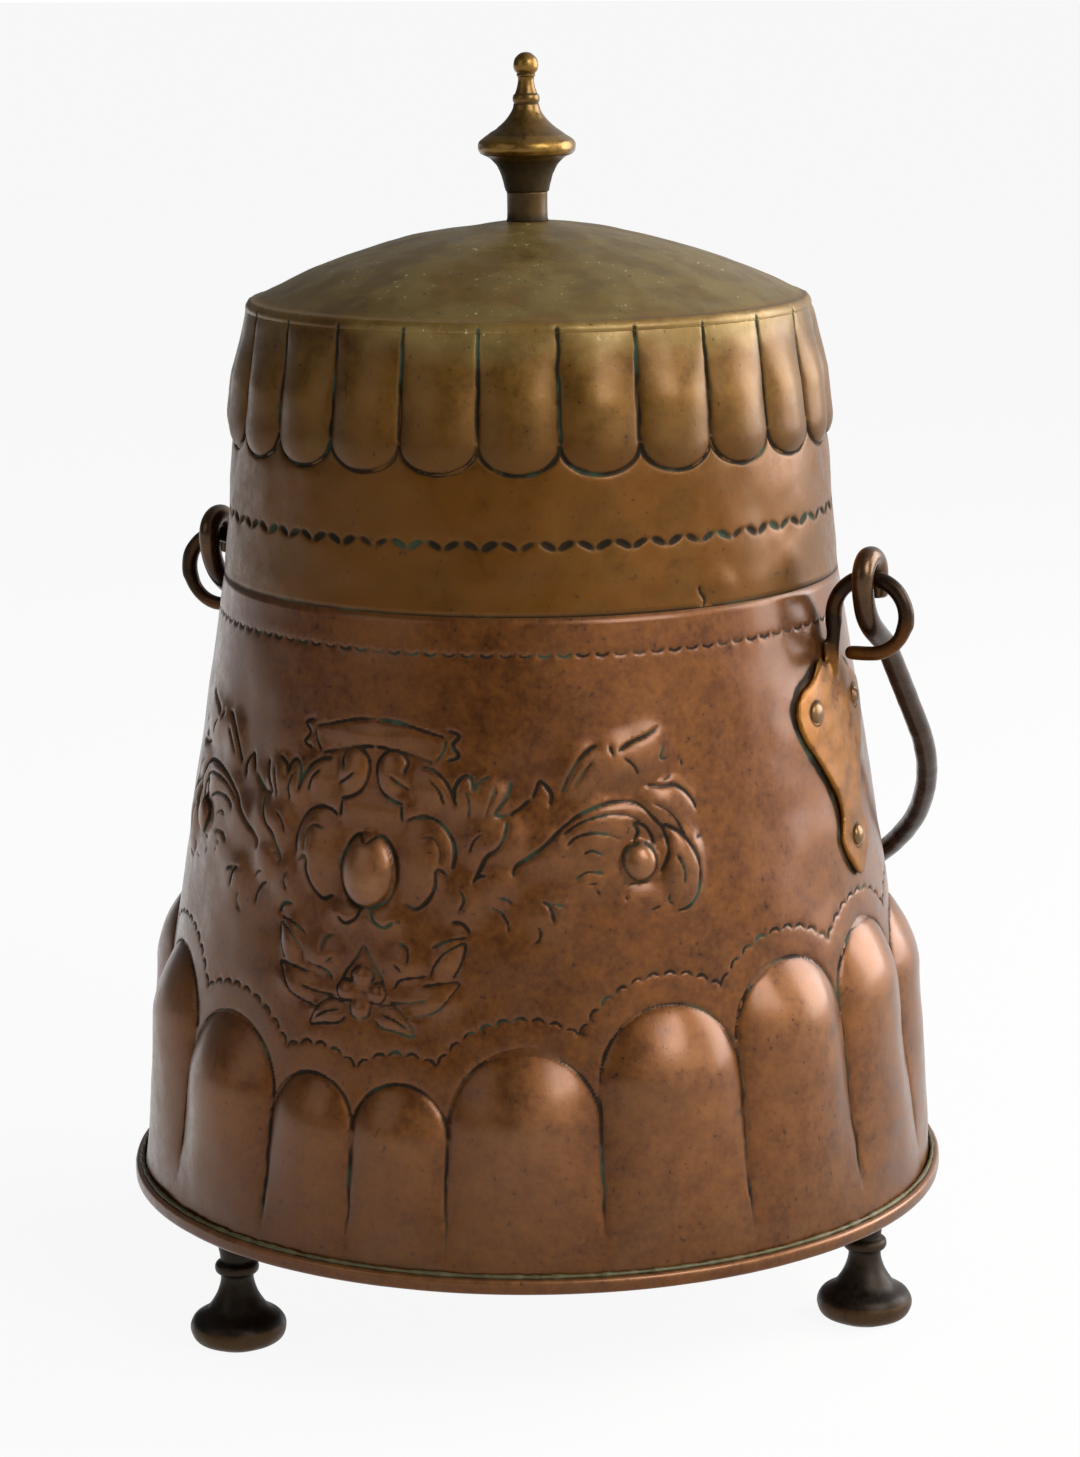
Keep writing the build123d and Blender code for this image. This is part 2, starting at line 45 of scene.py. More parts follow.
FOOT_R, EDGE_R = 162.4, 122.7
SHEET = 1.4
# The gadroons sit a degree left of the front, and the cartouche a little less
ORNAMENT_TURN, CARTOUCHE_TURN = -1.0, -0.8


def cone(z):
    return EDGE_R + (FOOT_R - EDGE_R) * (SEAT_Z - z) / (SEAT_Z - FLOOR_Z)


def around(r, angle, z):
    return Vector((r * sin(radians(angle)), -r * cos(radians(angle)), z))


# Eighteen gadroons: centre angle, half angle and swell. Two narrow ones meet at the front and
# two at the back, and the tops rise from the front and back towards the brackets.
NARROW_HALF, NARROW_SWELL = 7.2, 5.0
WIDE_HALF, WIDE_SWELL = 10.8, 8.2
GADROONS = [(end + side * NARROW_HALF, NARROW_HALF, NARROW_SWELL)
            for end in (0, 180) for side in (-1, 1)]
GADROONS += [(side * (2 * NARROW_HALF + (2 * n + 1) * WIDE_HALF), WIDE_HALF, WIDE_SWELL)
             for n in range(7) for side in (-1, 1)]
LOWEST_TOP_Z, TOP_CLIMB = 118.0, 48.0
GADROON_FOOT_Z = 57.1


def gadroon_top(centre):
    return LOWEST_TOP_Z + TOP_CLIMB * abs(sin(radians(centre)))


def turn_from(angle, centre):
    return (angle - centre + 180) % 360 - 180


def gadroon_swell(angle, z):
    for centre, half, swell in GADROONS:
        across = turn_from(angle, centre) / half
        if abs(across) <= 1:
            top = gadroon_top(centre)
            arch = radians(half) * cone(top)
            over = max(0.0, (z - top + arch) / arch)
            fade = min(1.0, max(0.0, (z - GADROON_FOOT_Z) / (top - arch - GADROON_FOOT_Z)))
            return swell * fade * max(0.0, 1 - across**2 - over**2)
    return 0.0


# The cartouche is drawn flat, in millimetres across and up from the middle of its boss. Each
# line is one run of the tracer through its points, struck once on each side of the middle.
# BOLD lines are deep and corroded, FINE ones are scratched in lightly.
BOSS_Z, BOSS_R = 202.0, 138.0
BOLD = [
    [(0, 56.5), (10.5, 55.5), (21.5, 53), (30, 51)],
    [(30, 54), (35, 52), (32.5, 48.5), (35, 44.5), (30, 42.5)],
    [(0, 46.5), (11, 45), (25.5, 41.5)],
    [(13, 37), (14.5, 41.5), (11, 45), (6, 45), (2, 41), (2, 35), (4.5, 30), (9.5, 27),
     (14, 26)],
    [(13, 26), (13.5, 19)],
    [(19.5, 40), (24.5, 39.5), (29.5, 36.5), (33, 31.5), (35, 26)],
    [(34, 28), (34.5, 34), (37.5, 37.5), (40.5, 36.5), (41.5, 31.5)],
    [(41.5, 31.5), (43.5, 35.5), (48.5, 38)],
    [(56, 36), (54.5, 30.5), (50, 24), (54.5, 23)],
    [(54.5, 23), (59.5, 26), (63, 29)],
    [(54.5, 22), (53.5, 16), (51, 11.5), (47, 8.5), (44.5, 4), (41.5, -2)],
    [(14.5, 19.5), (19, 21.5), (24.5, 21.5), (29.5, 19), (33.5, 13.5), (34.5, 7.5),
     (33.5, 2.5)],
    [(32, 0.5), (29, 3), (27.5, 1.5), (27.5, -3), (25, -8.5), (20, -12.5), (14.5, -10.5)],
    [(0, 10.5), (4.5, 13.5), (9, 9.5), (11.5, 2.5), (11, -4), (8.5, -10), (2.5, -13.5),
     (0, -13.5)],
    [(2, -13.5), (3.5, -17.5), (8, -20), (12, -17.5)],
    [(33.5, -16.5), (38, -17), (41, -21)],
    [(56.5, 0.5), (57.5, 4.5), (63, 8.5), (68.5, 12.5), (74.5, 18), (82, 23.5), (90, 26.5),
     (98, 27.5), (105, 26), (110, 21), (114.5, 15.5), (116, 9), (114.5, 4), (112, -0.5)],
    [(105, 12.5), (109, 9.5), (110.5, 5), (108.5, 0.5), (104, -2), (100, 0), (97.5, 5), (99, 10),
     (105, 12.5)],
    [(102, 12), (104, 16), (102.5, 19), (106.5, 18), (109.5, 14), (110.5, 10)],
    [(108, 33), (114.5, 32), (119.5, 32), (124, 29.5), (127.5, 25.5), (129.5, 21.5)],
    [(113.5, 18.5), (120.5, 14.5), (125, 9), (128, 2.5), (128, -4.5), (126, -10), (122.5, -13.5),
     (117.5, -15)],
    [(75, 30.5), (78.5, 38), (82.5, 44), (87, 47.5), (90, 48.5)],
    [(94.5, 48.5), (95.5, 44.5)],
    [(97.5, 46), (103, 49), (109.5, 51), (115, 53.5)],
    [(66.5, -8), (69.5, -9.5), (71, -13), (71.5, -16.5)],
    [(70.5, 26), (71.5, 30), (70, 33), (67, 35.5), (65.5, 32.5), (64, 29)],
]
FINE = [
    [(30, 51), (29, 46.5), (25.5, 41.5)],
    [(7, 37), (11, 34), (16, 31)],
    [(42, -1), (44.5, 1), (47.5, 1)],
    [(50.5, -7), (54, -7.5), (57, -10)],
    [(48, -10.5), (52, -12.5), (54.5, -16.5), (55, -20.5)],
    [(0, -27), (3, -32.5), (7.5, -39), (10, -45)],
    [(13.5, -25), (17.5, -27.5), (18, -33)],
    [(12.5, -33), (16, -36)],
    [(12.5, -43.5), (15.5, -39), (25.5, -37)],
    [(26, -27), (32, -23.5), (40, -22)],
    [(39.5, -23.5), (32, -27.5), (27.5, -33.5), (26.5, -38)],
    [(39.5, -23.5), (38, -31), (34.5, -38)],
    [(23, -41), (30.5, -39.5), (37, -39), (34, -44), (30, -49), (23.5, -52), (16, -53)],
    [(10.5, -48), (18.5, -47.5), (26, -45.5)],
    [(6.5, -50), (12, -49), (17, -52), (21, -59.5), (14, -58.5), (8.5, -57.5), (5.5, -54.5)],
    [(8, -52.5), (14, -54), (19, -57.5)],
    [(3.5, -42), (7.5, -41), (10, -44.5), (8, -48.5), (2.5, -48.5)],
    [(0, -34.5), (4.5, -38), (3.5, -42)],
    [(4, -49), (3.5, -53.5), (0, -55.5)],
    [(62.5, 6.5), (65, 10.5)],
    [(76.5, 12), (80, 15), (85.5, 16.5), (91.5, 16), (98, 13.5)],
    [(82.5, 8.5), (86, 10), (91, 8)],
    [(98.5, -3.5), (104, -3), (108.5, -2.5)],
    [(115, 33.5), (120, 36)],
    [(127, 11.5), (131.5, 12)],
    [(116, -7.5), (115, -10), (117, -13)],
    [(117, 47.5), (115, 42.5), (119, 42)],
    [(124, 42), (124.5, 37.5)],
    [(84, -2.5), (88.5, -2)],
    [(87, -4), (89, -7)],
    [(98.5, -6.5), (98.5, -10)],
    [(107, -13.5), (112.5, -12)],
    [(70, -8.5), (76, -10.5)],
    [(63.5, -24.5), (66, -22.5), (66.5, -19.5), (65, -17)],
    [(75, 16), (83, 21), (92, 23), (100, 22.5), (106, 19.5)],
    [(110, 26.5), (115.5, 23.5), (120, 18.5), (123, 12)],
    [(118.5, 7), (121, 1), (121, -5)],
    [(79.5, 33), (83.5, 38.5), (87.5, 43)],
    [(99.5, 44), (103.5, 40.5), (105.5, 36.5)],
    [(38, 33), (40, 28), (39.5, 21.5)],
    [(50, 34), (48, 28), (46, 22)],
    [(24, 36), (28, 32), (30, 26.5)],
    [(40, 9), (42, 14), (46, 17.5)],
    [(36.5, -3.5), (38.5, -8), (36.5, -12.5)],
    [(20, 14), (26, 14.5), (29, 10), (29, 4.5)],
    [(79, -1), (84, 2), (91, 1.5)],
]

# What was beaten up from behind: middle across and up, half width, half height, swell. The
# three round bosses rise steeply, and the leaves swell up softly.
CARTOUCHE_WIDE, CARTOUCHE_HIGH = 140, 66
BOSS_SWELL, BOSS_POWER, LEAF_POWER = 5, 0.55, 1.3
SWELLS = [
    (0, 0.5, 11, 14, 6.5), (0, 51, 31, 6.5, 1.4),
    (8, 37, 9.5, 12, 2.4), (23, 6, 13, 18, 2.6), (26, 33, 11, 10, 2.0),
    (36, 29, 9, 11, 2.0), (46, 29, 10, 11, 2.2), (45, 14, 11, 14, 2.0), (38, -8, 10, 12, 1.6),
    (50, -2, 9, 11, 1.6), (55, 14, 9, 11, 1.8), (12, 24, 11, 8, 1.5), (0, 24, 10, 8, 1.5),
    (104, 5, 7.6, 8.2, 5.2), (92, 20, 21, 12, 2.3), (88, 10, 15, 10, 1.6), (72, 10, 15, 11, 1.7),
    (122, 2, 10, 20, 2.9), (116, 25, 15, 12, 2.6), (100, 42, 20, 12, 2.7), (110, 47, 12, 10, 1.7),
    (84, 38, 11, 14, 2.1), (88, -1, 17, 10, 1.4), (70, -12, 12, 12, 1.2), (104, -10, 15, 7, 0.9),
    (8, -17, 9, 6, 1.8), (0, -39, 5, 5, 1.9), (6.5, -45, 5, 5, 1.9), (0, -51, 5, 5, 1.9),
    (28, -46, 11, 6.5, 1.7), (33, -30, 6, 9, 1.7), (14, -54, 8, 5, 1.4), (17, -33, 9, 8, 1.4),
]


def relief(angle, z):
    """How far the cartouche stands out at a place on the wall."""
    u = radians(angle - CARTOUCHE_TURN) * BOSS_R
    v = z - BOSS_Z
    if abs(u) > CARTOUCHE_WIDE or abs(v) > CARTOUCHE_HIGH:
        return 0.0
    lift = 0.0
    for across, up, half_wide, half_high, swell in SWELLS:
        rho = ((abs(u) - across) / half_wide) ** 2 + ((v - up) / half_high) ** 2
        if across < half_wide:
            rho = min(rho, ((abs(u) + across) / half_wide) ** 2 + ((v - up) / half_high) ** 2)
        if rho < 1:
            bulge = swell * (1 - rho) ** (BOSS_POWER if swell > BOSS_SWELL else LEAF_POWER)
            lift = hypot(lift, bulge)
    return lift


def run_of(points, spacing=0.6):
    """A smooth line through the points, in steps of about the spacing."""
    points = [Vector(p) for p in points]
    padded = [points[0] * 2 - points[1]] + points + [points[-1] * 2 - points[-2]]
    line = []
    for a, b, c, d in zip(padded, padded[1:], padded[2:], padded[3:]):
        steps = max(2, ceil((c - b).length / spacing))
        for n in range(steps):
            share = n / steps
            curve = 2 * b + (c - a) * share + (2 * a - 5 * b + 4 * c - d) * share * share
            curve += (3 * b - a - 3 * c + d) * share**3
            line.append(0.5 * curve)
    return line + [points[-1]]


def run_lengths(line):
    lengths = [0.0]
    for a, b in zip(line, line[1:]):
        lengths.append(lengths[-1] + (b - a).length)
    return lengths


class Marks:
    """Tool marks on a surface: where each lies, half its width, its depth and its dark. Each
    one also draws the sheet down a little, as far as the reach beside it."""

    reach = 3.2

    def __init__(self):
        self.spots = []

    def strike(self, line, half_width=1.0, depth=0.7, taper=4.0, dark=1.0):
        """A line or a punch mark, thinner towards its ends. The hand and the corrosion make
        its width and its dark uneven."""
        lengths = run_lengths(line)
        for place, run in zip(line, lengths):
            end = min(1.0, (0.35 * taper + min(run, lengths[-1] - run)) / (1.35 * taper))
            wander = 1 + 0.35 * noise.noise(place / 5)
            stain = 1 + 0.7 * noise.noise(place / 16 + Vector((7, 0, 0)))
            self.spots.append((place, half_width * wander * (0.55 + 0.45 * end), depth * end,
                               min(1.0, dark * end * stain)))

    def ready(self):
        self.tree = kdtree.KDTree(len(self.spots))
        for index, spot in enumerate(self.spots):
            self.tree.insert(spot[0], index)
        self.tree.balance()
        return self

    def cut(self, place):
        """Depth of the marks at a place, and how dark they make it."""
        deepest = darkest = 0.0
        for _, index, away in self.tree.find_range(place, self.reach):
            width, depth, dark = self.spots[index][1:]
            share = away / width
            drawn = 0.4 * (1 - away / self.reach) ** 2
            deepest = max(deepest, depth * (drawn + 0.6 * max(0.0, 1 - share * share)))
            darkest = max(darkest, dark * min(1.0, max(0.0, 1.8 - 1.35 * share)))
        return deepest, darkest

    def near(self, place, reach):
        return self.tree.find(place)[2] < reach


wall_marks = Marks()


def on_wall(u, v):
    return around(cone(v + BOSS_Z), degrees(u / BOSS_R) + CARTOUCHE_TURN, v + BOSS_Z)


for runs, half_width, depth, dark in ((BOLD, 0.85, 0.8, 1.0), (FINE, 0.68, 0.5, 0.95)):
    for points in runs:
        for side in (1, -1):
            line = [on_wall(side * p.x, p.y) for p in run_of(points)]
            wall_marks.strike(line, half_width, depth, taper=1.8, dark=dark)

# A line round each gadroon's arch and down its sides, fading towards the foot
for centre, half, swell in GADROONS:
    top = gadroon_top(centre)
    arch = radians(half) * cone(top)
    arc = []
    for n in range(61):
        z = top - arch + arch * sin(pi * n / 60)
        arc.append(around(cone(z), centre + ORNAMENT_TURN - half * cos(pi * n / 60), z))
    wall_marks.strike(arc, half_width=0.9, depth=0.8, taper=0.5, dark=0.9)
    low = 66 if swell == WIDE_SWELL else 60
    drop = [top - arch - n * 0.8 for n in range(int((top - arch - low) / 0.8))]
    for side in (-1, 1):
        angle = centre + ORNAMENT_TURN + side * half
        line = [around(cone(z), angle + 0.3 * noise.noise((z / 9, angle, 0)), z) for z in drop]
        wall_marks.strike(line, half_width=0.85, depth=0.75, taper=12.0, dark=0.9)


def crescents(line, pitch, sagitta):
    """Small arcs struck end to end along a flat line, bowed to its left."""
    lengths = run_lengths(line)
    count = max(1, round(lengths[-1] / pitch))
    arcs = []
    for n in range(count):
        arc = []
        for step in range(11):
            share = (n + 0.07 + 0.86 * step / 10) / count * lengths[-1]
            index = max(i for i, run in enumerate(lengths[:-1]) if run <= share)
            a, b = line[index], line[index + 1]
            here = a.lerp(b, (share - lengths[index]) / (lengths[index + 1] - lengths[index]))
            left = Vector((-(b - a).y, (b - a).x)).normalized()
            arc.append(here + left * sagitta * (1 - (step / 5 - 1) ** 2))
        arcs.append(arc)
    return arcs


# Over the arches runs a scalloped border of small crescents, each one blow of a curved punch
BORDER = 10.5
for centre, half, swell in GADROONS:
    top = gadroon_top(centre)
    r = cone(top)
    arch = radians(half) * r
    line = []
    for n in range(121):
        across = -(arch + BORDER) * cos(pi * n / 120)
        up = top - arch + (arch + BORDER) * sin(pi * n / 120)
        covered = False
        for other, other_half, _ in GADROONS:
            if other != centre:
                reach = radians(other_half) * r + BORDER - 0.1
                du = radians(turn_from(centre, other)) * r + across
                dv = up - gadroon_top(other) + radians(other_half) * r
                covered = covered or (abs(du) < reach and (dv < 0 or hypot(du, dv) < reach))
        if not covered:
            line.append(Vector((radians(centre) * r + across, up)))
    if len(line) > 3:
        for arc in crescents(line, pitch=7.0, sagitta=1.7):
            arc = [around(cone(p.y), degrees(p.x / r) + ORNAMENT_TURN, p.y) for p in arc]
            wall_marks.strike(arc, half_width=0.7, depth=0.6, taper=1.6)

# The same crescents hang in a row under the lid's edge
ROW_Z = 284.5
row = [Vector((-radians(n) * cone(ROW_Z), ROW_Z)) for n in range(0, 361, 2)]
for arc in crescents(row, pitch=7.2, sagitta=1.5):
    arc = [around(cone(p.y), degrees(p.x / cone(ROW_Z)), p.y) for p in arc]
    wall_marks.strike(arc, half_width=0.7, depth=0.55, taper=1.6)

# Verdigris and dirt have settled along the edge of each bracket's plate, and the dark line
# painted there stands for them and for the plate's shade on the wall too. The outline is the
# one that the plate is cut to, as half widths and heights.
PLATE_TOP_Z = 276
PLATE = [(0, 183.5), (8, 190), (12.8, 199), (10, 208), (14.5, 222), (25, 236), (31.4, 250.5),
         (26.5, 259.9), (16, 265), (8, 270.5), (4.8, PLATE_TOP_Z)]
DIRT_AND_SHADE_OUT = 1.2
for side in (1, -1):
    for flank in (1, -1):
        line = []
        for p in run_of(PLATE):
            angle = side * 90 + flank * degrees((p.x + DIRT_AND_SHADE_OUT) / cone(p.y))
            line.append(around(cone(p.y), angle, p.y))
        wall_marks.strike(line, half_width=1.7, depth=0.05, taper=3.0, dark=0.9)
wall_marks.ready()


def put(name, data):
    """A new object in the scene."""
    made = bpy.data.objects.new(name, data)
    bpy.context.scene.collection.objects.link(made)
    return made


def turned(name, profile, columns, shape, marks=None, is_face=None, fine=()):
    """A surface of revolution from (radius, height) points, closed on the axis where it ends
    there, and otherwise from its last point to its first. Where the marks lie, the faces that
    is_face picks are cut finer, once for each reach in fine. shape then puts every point in
    its last place, and says how dark and how rubbed it is."""
    bm = bmesh.new()
    rings = []
    for r, z in profile:
        count = 1 if r < 0.001 else columns
        rings.append([bm.verts.new(around(r, 360 * n / columns, z)) for n in range(count)])
    on_axis = len(rings[0]) == 1 and len(rings[-1]) == 1
    for below, above in zip(rings, rings[1:] + ([] if on_axis else rings[:1])):
        for n in range(columns):
            m = (n + 1) % columns
            corners = [below[n % len(below)], below[m % len(below)],
                       above[m % len(above)], above[n % len(above)]]
            bm.faces.new(dict.fromkeys(corners))
    for reach in fine:
        chosen = [f for f in bm.faces if is_face(f) and marks.near(f.calc_center_median(), reach)]
        edges = list({e for f in chosen for e in f.edges})
        bmesh.ops.subdivide_edges(bm, edges=edges, cuts=1, use_grid_fill=True)
    dark = bm.verts.layers.float.new("dark")
    rubbed = bm.verts.layers.float.new("rubbed")
    for v in bm.verts:
        place, v[dark], v[rubbed] = shape(v.co.copy())
        v.co = place * 0.001
    bmesh.ops.recalc_face_normals(bm, faces=bm.faces)
    for f in bm.faces:
        f.smooth = True
    mesh = bpy.data.meshes.new(name)
    bm.to_mesh(mesh)
    bm.free()
    return put(name, mesh)


def hammered(place, size, depth):
    """Shallow flats left by the planishing hammer."""
    return depth * noise.noise(place / size)


def wall_face(face):
    c = face.calc_center_median()
    return FLOOR_Z < c.z < SEAT_Z - 2 and hypot(c.x, c.y) > cone(c.z) - 0.6


def wall_shape(place):
    z = place.z
    r = hypot(place.x, place.y)
    angle = degrees(atan2(place.x, -place.y))
    if z > SEAT_Z - 1.5:
        return place, 0.25, 0.2
    plain = cone(z)
    swell = gadroon_swell(angle - ORNAMENT_TURN, z)
    if r < plain - 0.6:
        return around(plain - SHEET + swell, angle, z), 0.4, 0.0
    at = around(plain, angle, z)
    cut, dark = wall_marks.cut(at)
    pressed_flat = 0.4 * min(1.0, max(0.0, (-angle - 25) / 20))
    lift = relief(angle, z) * (1 - pressed_flat)
    hold = min(1.0, (z - FLOOR_Z) / 6, (SEAT_Z - z) / 6)
    flat = min(1.0, 0.25 + max(0.0, (SEAT_Z - z) / 60))
    dent = flat * (hammered(at, size=28, depth=0.8) + hammered(at, size=11, depth=0.25))
    under_lid = 0.8 * max(0.0, 1 - (SEAT_Z - 0.4 - z) / 1.6)
    # Painted shade: the wall darkens towards the base rim
    painted_shade_over_rim = 0.35 * max(0.0, 1 - (z - 55) / 45)
    rubbed = min(1.0, swell / 14 + lift / 6)
    outside = around(plain + swell + hold * (lift + dent) - cut, angle, z)
    return outside, max(dark, under_lid, painted_shade_over_rim), rubbed


def spaced(start, end, count):
    """Even steps from the start to the end, both of them included."""
    return [start + (end - start) * n / count for n in range(count + 1)]


BEAD_R, BEAD_Z, BEAD_SIZE = 114.58, 340.0, 2.7
wall = [(cone(z), z) for z in spaced(FLOOR_Z, SEAT_Z, 82)]
wall += [(121.2, SEAT_Z), (118.4, 312.0), (115.6, 327.0)]
wall += [(BEAD_R + BEAD_SIZE * cos(radians(a)), BEAD_Z + BEAD_SIZE * sin(radians(a)))
         for a in range(-70, 251, 20)]
wall += [(112.8, 333.0), (116.5, 315.0), (119.8, SEAT_Z - SHEET)]
wall += [(cone(z) - SHEET, z) for z in spaced(SEAT_Z - SHEET, FLOOR_Z, 24)]
body = turned("copper_body", wall, 300, wall_shape, wall_marks, wall_face, fine=(3.0, 1.7))


def add(tree, kind, links=None, **settings):
    """Adds a node with its settings. links gives each of its inputs, by name or by number, a
    value, another node's socket, or another node, of which the first output is meant."""
    node = tree.nodes.new(kind)
    for name, value in settings.items():
        setattr(node, name, value)
    for socket, value in (links or {}).items():
        if isinstance(value, bpy.types.Node):
            value = value.outputs[0]
        if isinstance(value, bpy.types.NodeSocket):
            tree.links.new(value, node.inputs[socket])
        else:
            node.inputs[socket].default_value = value
    return node


def srgb(code):
    """A hex colour as the linear values that a shader takes."""
    parts = [int(code[n:n + 2], 16) / 255 for n in (1, 3, 5)]
    linear = [p / 12.92 if p < 0.04045 else ((p + 0.055) / 1.055) ** 2.4 for p in parts]
    return (*linear, 1)


# The sizes of the patina's patterns
MOTTLE_MM, PATCH_MM, GRAIN_MM = 9.09, 16.667, 2.381


def patinated(name, deep, fair, worn, metal=0.62, rough=(0.19, 0.42), cloud_mm=71.43,
              flecks=None, stains=(), film=0.35, verdigris="#2f4436"):
    """Old metal under its own brown skin. Broad clouds and a fine mottle wander between the
    deep and the fair colour. Each stain over them is a colour, its strength, and the heights
    in metres where it begins and is full. What stands out is rubbed to the worn colour.
    Flecks are pale spots of scale, given as their colour and the height that they lie above.
    The tool marks hold black-green grime, with verdigris here and there, and the same black-green
    paints shade where a piece's dark attribute asks for it. Rough is the range of roughness, to
    which the grain adds a tenth. Film is the dull gloss of old wax and handling over it all."""
    material = bpy.data.materials.new(name)
    material.use_nodes = True
    tree = material.node_tree
    tree.nodes.clear()
    at = add(tree, "ShaderNodeTexCoord").outputs["Object"]
    cloud, mottle, patch, grain = (
        add(tree, "ShaderNodeTexNoise", {"Vector": at, "Scale": 1000 / size, "Detail": detail,
                                         "Roughness": roughness})
        for size, detail, roughness in ((cloud_mm, 5.0, 0.6), (MOTTLE_MM, 7.0, 0.72),
                                        (PATCH_MM, 3.0, 0.5), (GRAIN_MM, 3.0, 0.5)))
    tone = add(tree, "ShaderNodeMath", {0: mottle, 1: 1.6, 2: cloud}, operation="MULTIPLY_ADD")
    tone = add(tree, "ShaderNodeMath", {0: grain, 1: 0.8, 2: tone}, operation="MULTIPLY_ADD")
    layers = [(add(tree, "ShaderNodeMapRange", {0: tone, 1: 1.3, 2: 2.1}), fair)]

    # Stains and flecks begin along a wandering line, and are broken up by patches
    height = add(tree, "ShaderNodeSeparateXYZ", {0: at}).outputs[2]
    wave = add(tree, "ShaderNodeMath", {0: cloud, 1: 0.05, 2: -0.025}, operation="MULTIPLY_ADD")
    wavy = add(tree, "ShaderNodeMath", {0: wave, 1: height}, operation="ADD")
    broken = add(tree, "ShaderNodeMapRange", {0: patch, 1: 0.4, 2: 0.55, 3: 0.62})
    for stain, strength, begins, full in stains:
        cover = add(tree, "ShaderNodeMapRange", {0: wavy, 1: begins, 2: full, 4: strength})
        over = add(tree, "ShaderNodeMath", {0: broken, 1: cover}, operation="MULTIPLY")
        layers.append((over, stain))

    # Hands and cloths rub what stands out, and every sharp edge
    rubbed = add(tree, "ShaderNodeAttribute", attribute_name="rubbed").outputs["Fac"]
    bare = add(tree, "ShaderNodeMath", {0: rubbed, 1: mottle}, operation="MULTIPLY")
    sharp = add(tree, "ShaderNodeNewGeometry").outputs["Pointiness"]
    edge = add(tree, "ShaderNodeMapRange", {0: sharp, 1: 0.53, 2: 0.63, 4: 0.3})
    layers += [(bare, worn), (edge, worn)]
    if flecks:
        scale, begins = flecks
        high = add(tree, "ShaderNodeMapRange", {0: wavy, 1: begins, 2: begins + 0.01})
        pale = add(tree, "ShaderNodeMapRange", {0: grain, 1: 0.67, 2: 0.7, 4: 0.9})
        group = add(tree, "ShaderNodeMapRange", {0: patch, 1: 0.47, 2: 0.56, 3: 0.1})
        spots = add(tree, "ShaderNodeMath", {0: group, 1: pale}, operation="MULTIPLY")
        some = add(tree, "ShaderNodeMath", {0: high, 1: spots}, operation="MULTIPLY")
        layers.append((some, scale))
    pits = add(tree, "ShaderNodeMapRange", {0: grain, 1: 0.315, 2: 0.285, 4: 0.55})
    layers.append((pits, "#1e1510"))
    colour = srgb(deep)
    for share, over in layers:
        colour = add(tree, "ShaderNodeMix", {0: share, 6: colour, 7: srgb(over)},
                     data_type="RGBA").outputs[2]

    # The dirt in the marks is no metal, and has hardly any gloss or wax. The dark attribute that
    # brings it in also carries painted shade on some pieces, and there the same colour paints that
    # shade, so groove stands for both.
    crust = add(tree, "ShaderNodeMapRange", {0: patch, 1: 0.53, 2: 0.65})
    dirt_and_shade = add(tree, "ShaderNodeMix", {0: crust, 6: srgb("#111613"), 7: srgb(verdigris)},
               data_type="RGBA").outputs[2]
    dark = add(tree, "ShaderNodeAttribute", attribute_name="dark").outputs["Fac"]
    crisp = add(tree, "ShaderNodeMapRange", {0: dark, 1: 0.36, 2: 0.72, 4: 0.5})
    groove = add(tree, "ShaderNodeMath", {0: dark, 1: 0.4, 2: crisp}, operation="MULTIPLY_ADD")
    colour = add(tree, "ShaderNodeMix", {0: groove, 6: colour, 7: dirt_and_shade},
                 data_type="RGBA").outputs[2]
    metallic, specular, coat = (
        add(tree, "ShaderNodeMath", {0: groove, 1: -lost, 2: clean}, operation="MULTIPLY_ADD")
        for clean, lost in ((metal, metal), (0.25, 0.2), (film, film)))
    shine = add(tree, "ShaderNodeMapRange",
                {0: mottle, 1: 0.35, 2: 0.65, 3: rough[0], 4: rough[1]})
    shine = add(tree, "ShaderNodeMath", {0: grain, 1: 0.22, 2: shine}, operation="MULTIPLY_ADD")
    shine = add(tree, "ShaderNodeMath", {0: groove, 1: 0.35, 2: shine}, operation="MULTIPLY_ADD")
    bump = add(tree, "ShaderNodeBump", {"Height": mottle, "Strength": 0.25, "Distance": 0.0006})
    skin = add(tree, "ShaderNodeBsdfPrincipled",
               {"Base Color": colour, "Metallic": metallic, "Roughness": shine,
                "Specular IOR Level": specular, "Coat Weight": coat, "Coat IOR": 1.36,
                "Coat Roughness": 0.22, "Normal": bump})
    add(tree, "ShaderNodeOutputMaterial", {0: skin})
    return material


def dress(piece, material, slot, body, *replaced):
    """Gives a piece its material, and says which body it rides on and what it replaces."""
    piece.data.materials.clear()
    piece.data.materials.append(material)
    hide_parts(*replaced)
    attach(piece, body)


# The copper: a deep brown skin, rubbed pinker on the gadroons' crowns, with a soft gloss
copper = patinated("Raised copper, brown patina", "#512906", "#72420f", "#996a46", film=0.66)
dress(body, copper, "copper", "pot", "body_shell")

# The base. A flat copper disc whose edge is folded up and over the body's flange, and then
# rolled down tight, so the rim shows as a smooth band with a few knocks in it.
UNDERSIDE_Z, RIM_R, RIM_TOP_Z = 49.2, 166.0, 54.9
base = [(r, UNDERSIDE_Z) for r in range(0, 161, 20)]
base += [(164.6, UNDERSIDE_Z), (165.4, 49.4), (165.9, 50.0), (RIM_R, 50.7), (RIM_R, 52.0),
         (RIM_R, 53.3), (165.8, 54.2), (165.3, 54.75), (164.5, RIM_TOP_Z), (162.5, RIM_TOP_Z),
         (162.5, 53.5), (164.6, 53.5), (164.6, FLOOR_Z), (0, FLOOR_Z)]


def base_shape(place):
    r = hypot(place.x, place.y)
    if r < 161:
        return place, 0.3, 0.0
    knock = hammered(place, size=30, depth=0.35) + hammered(place, size=7, depth=0.1)
    out = Vector((place.x, place.y, 0)).normalized()
    # Painted shade: the rim's band is darker on its lower part, below the rolled top
    low = min(1.0, max(0.0, (54.2 - place.z) / 1.2))
    return place + out * min(0.0, knock - 0.05), 0.3 * low, 0.8 * (1 - low)


rim = turned("folded_base", base, 360, base_shape)
dress(rim, copper, "copper", "pot", "base_plate")


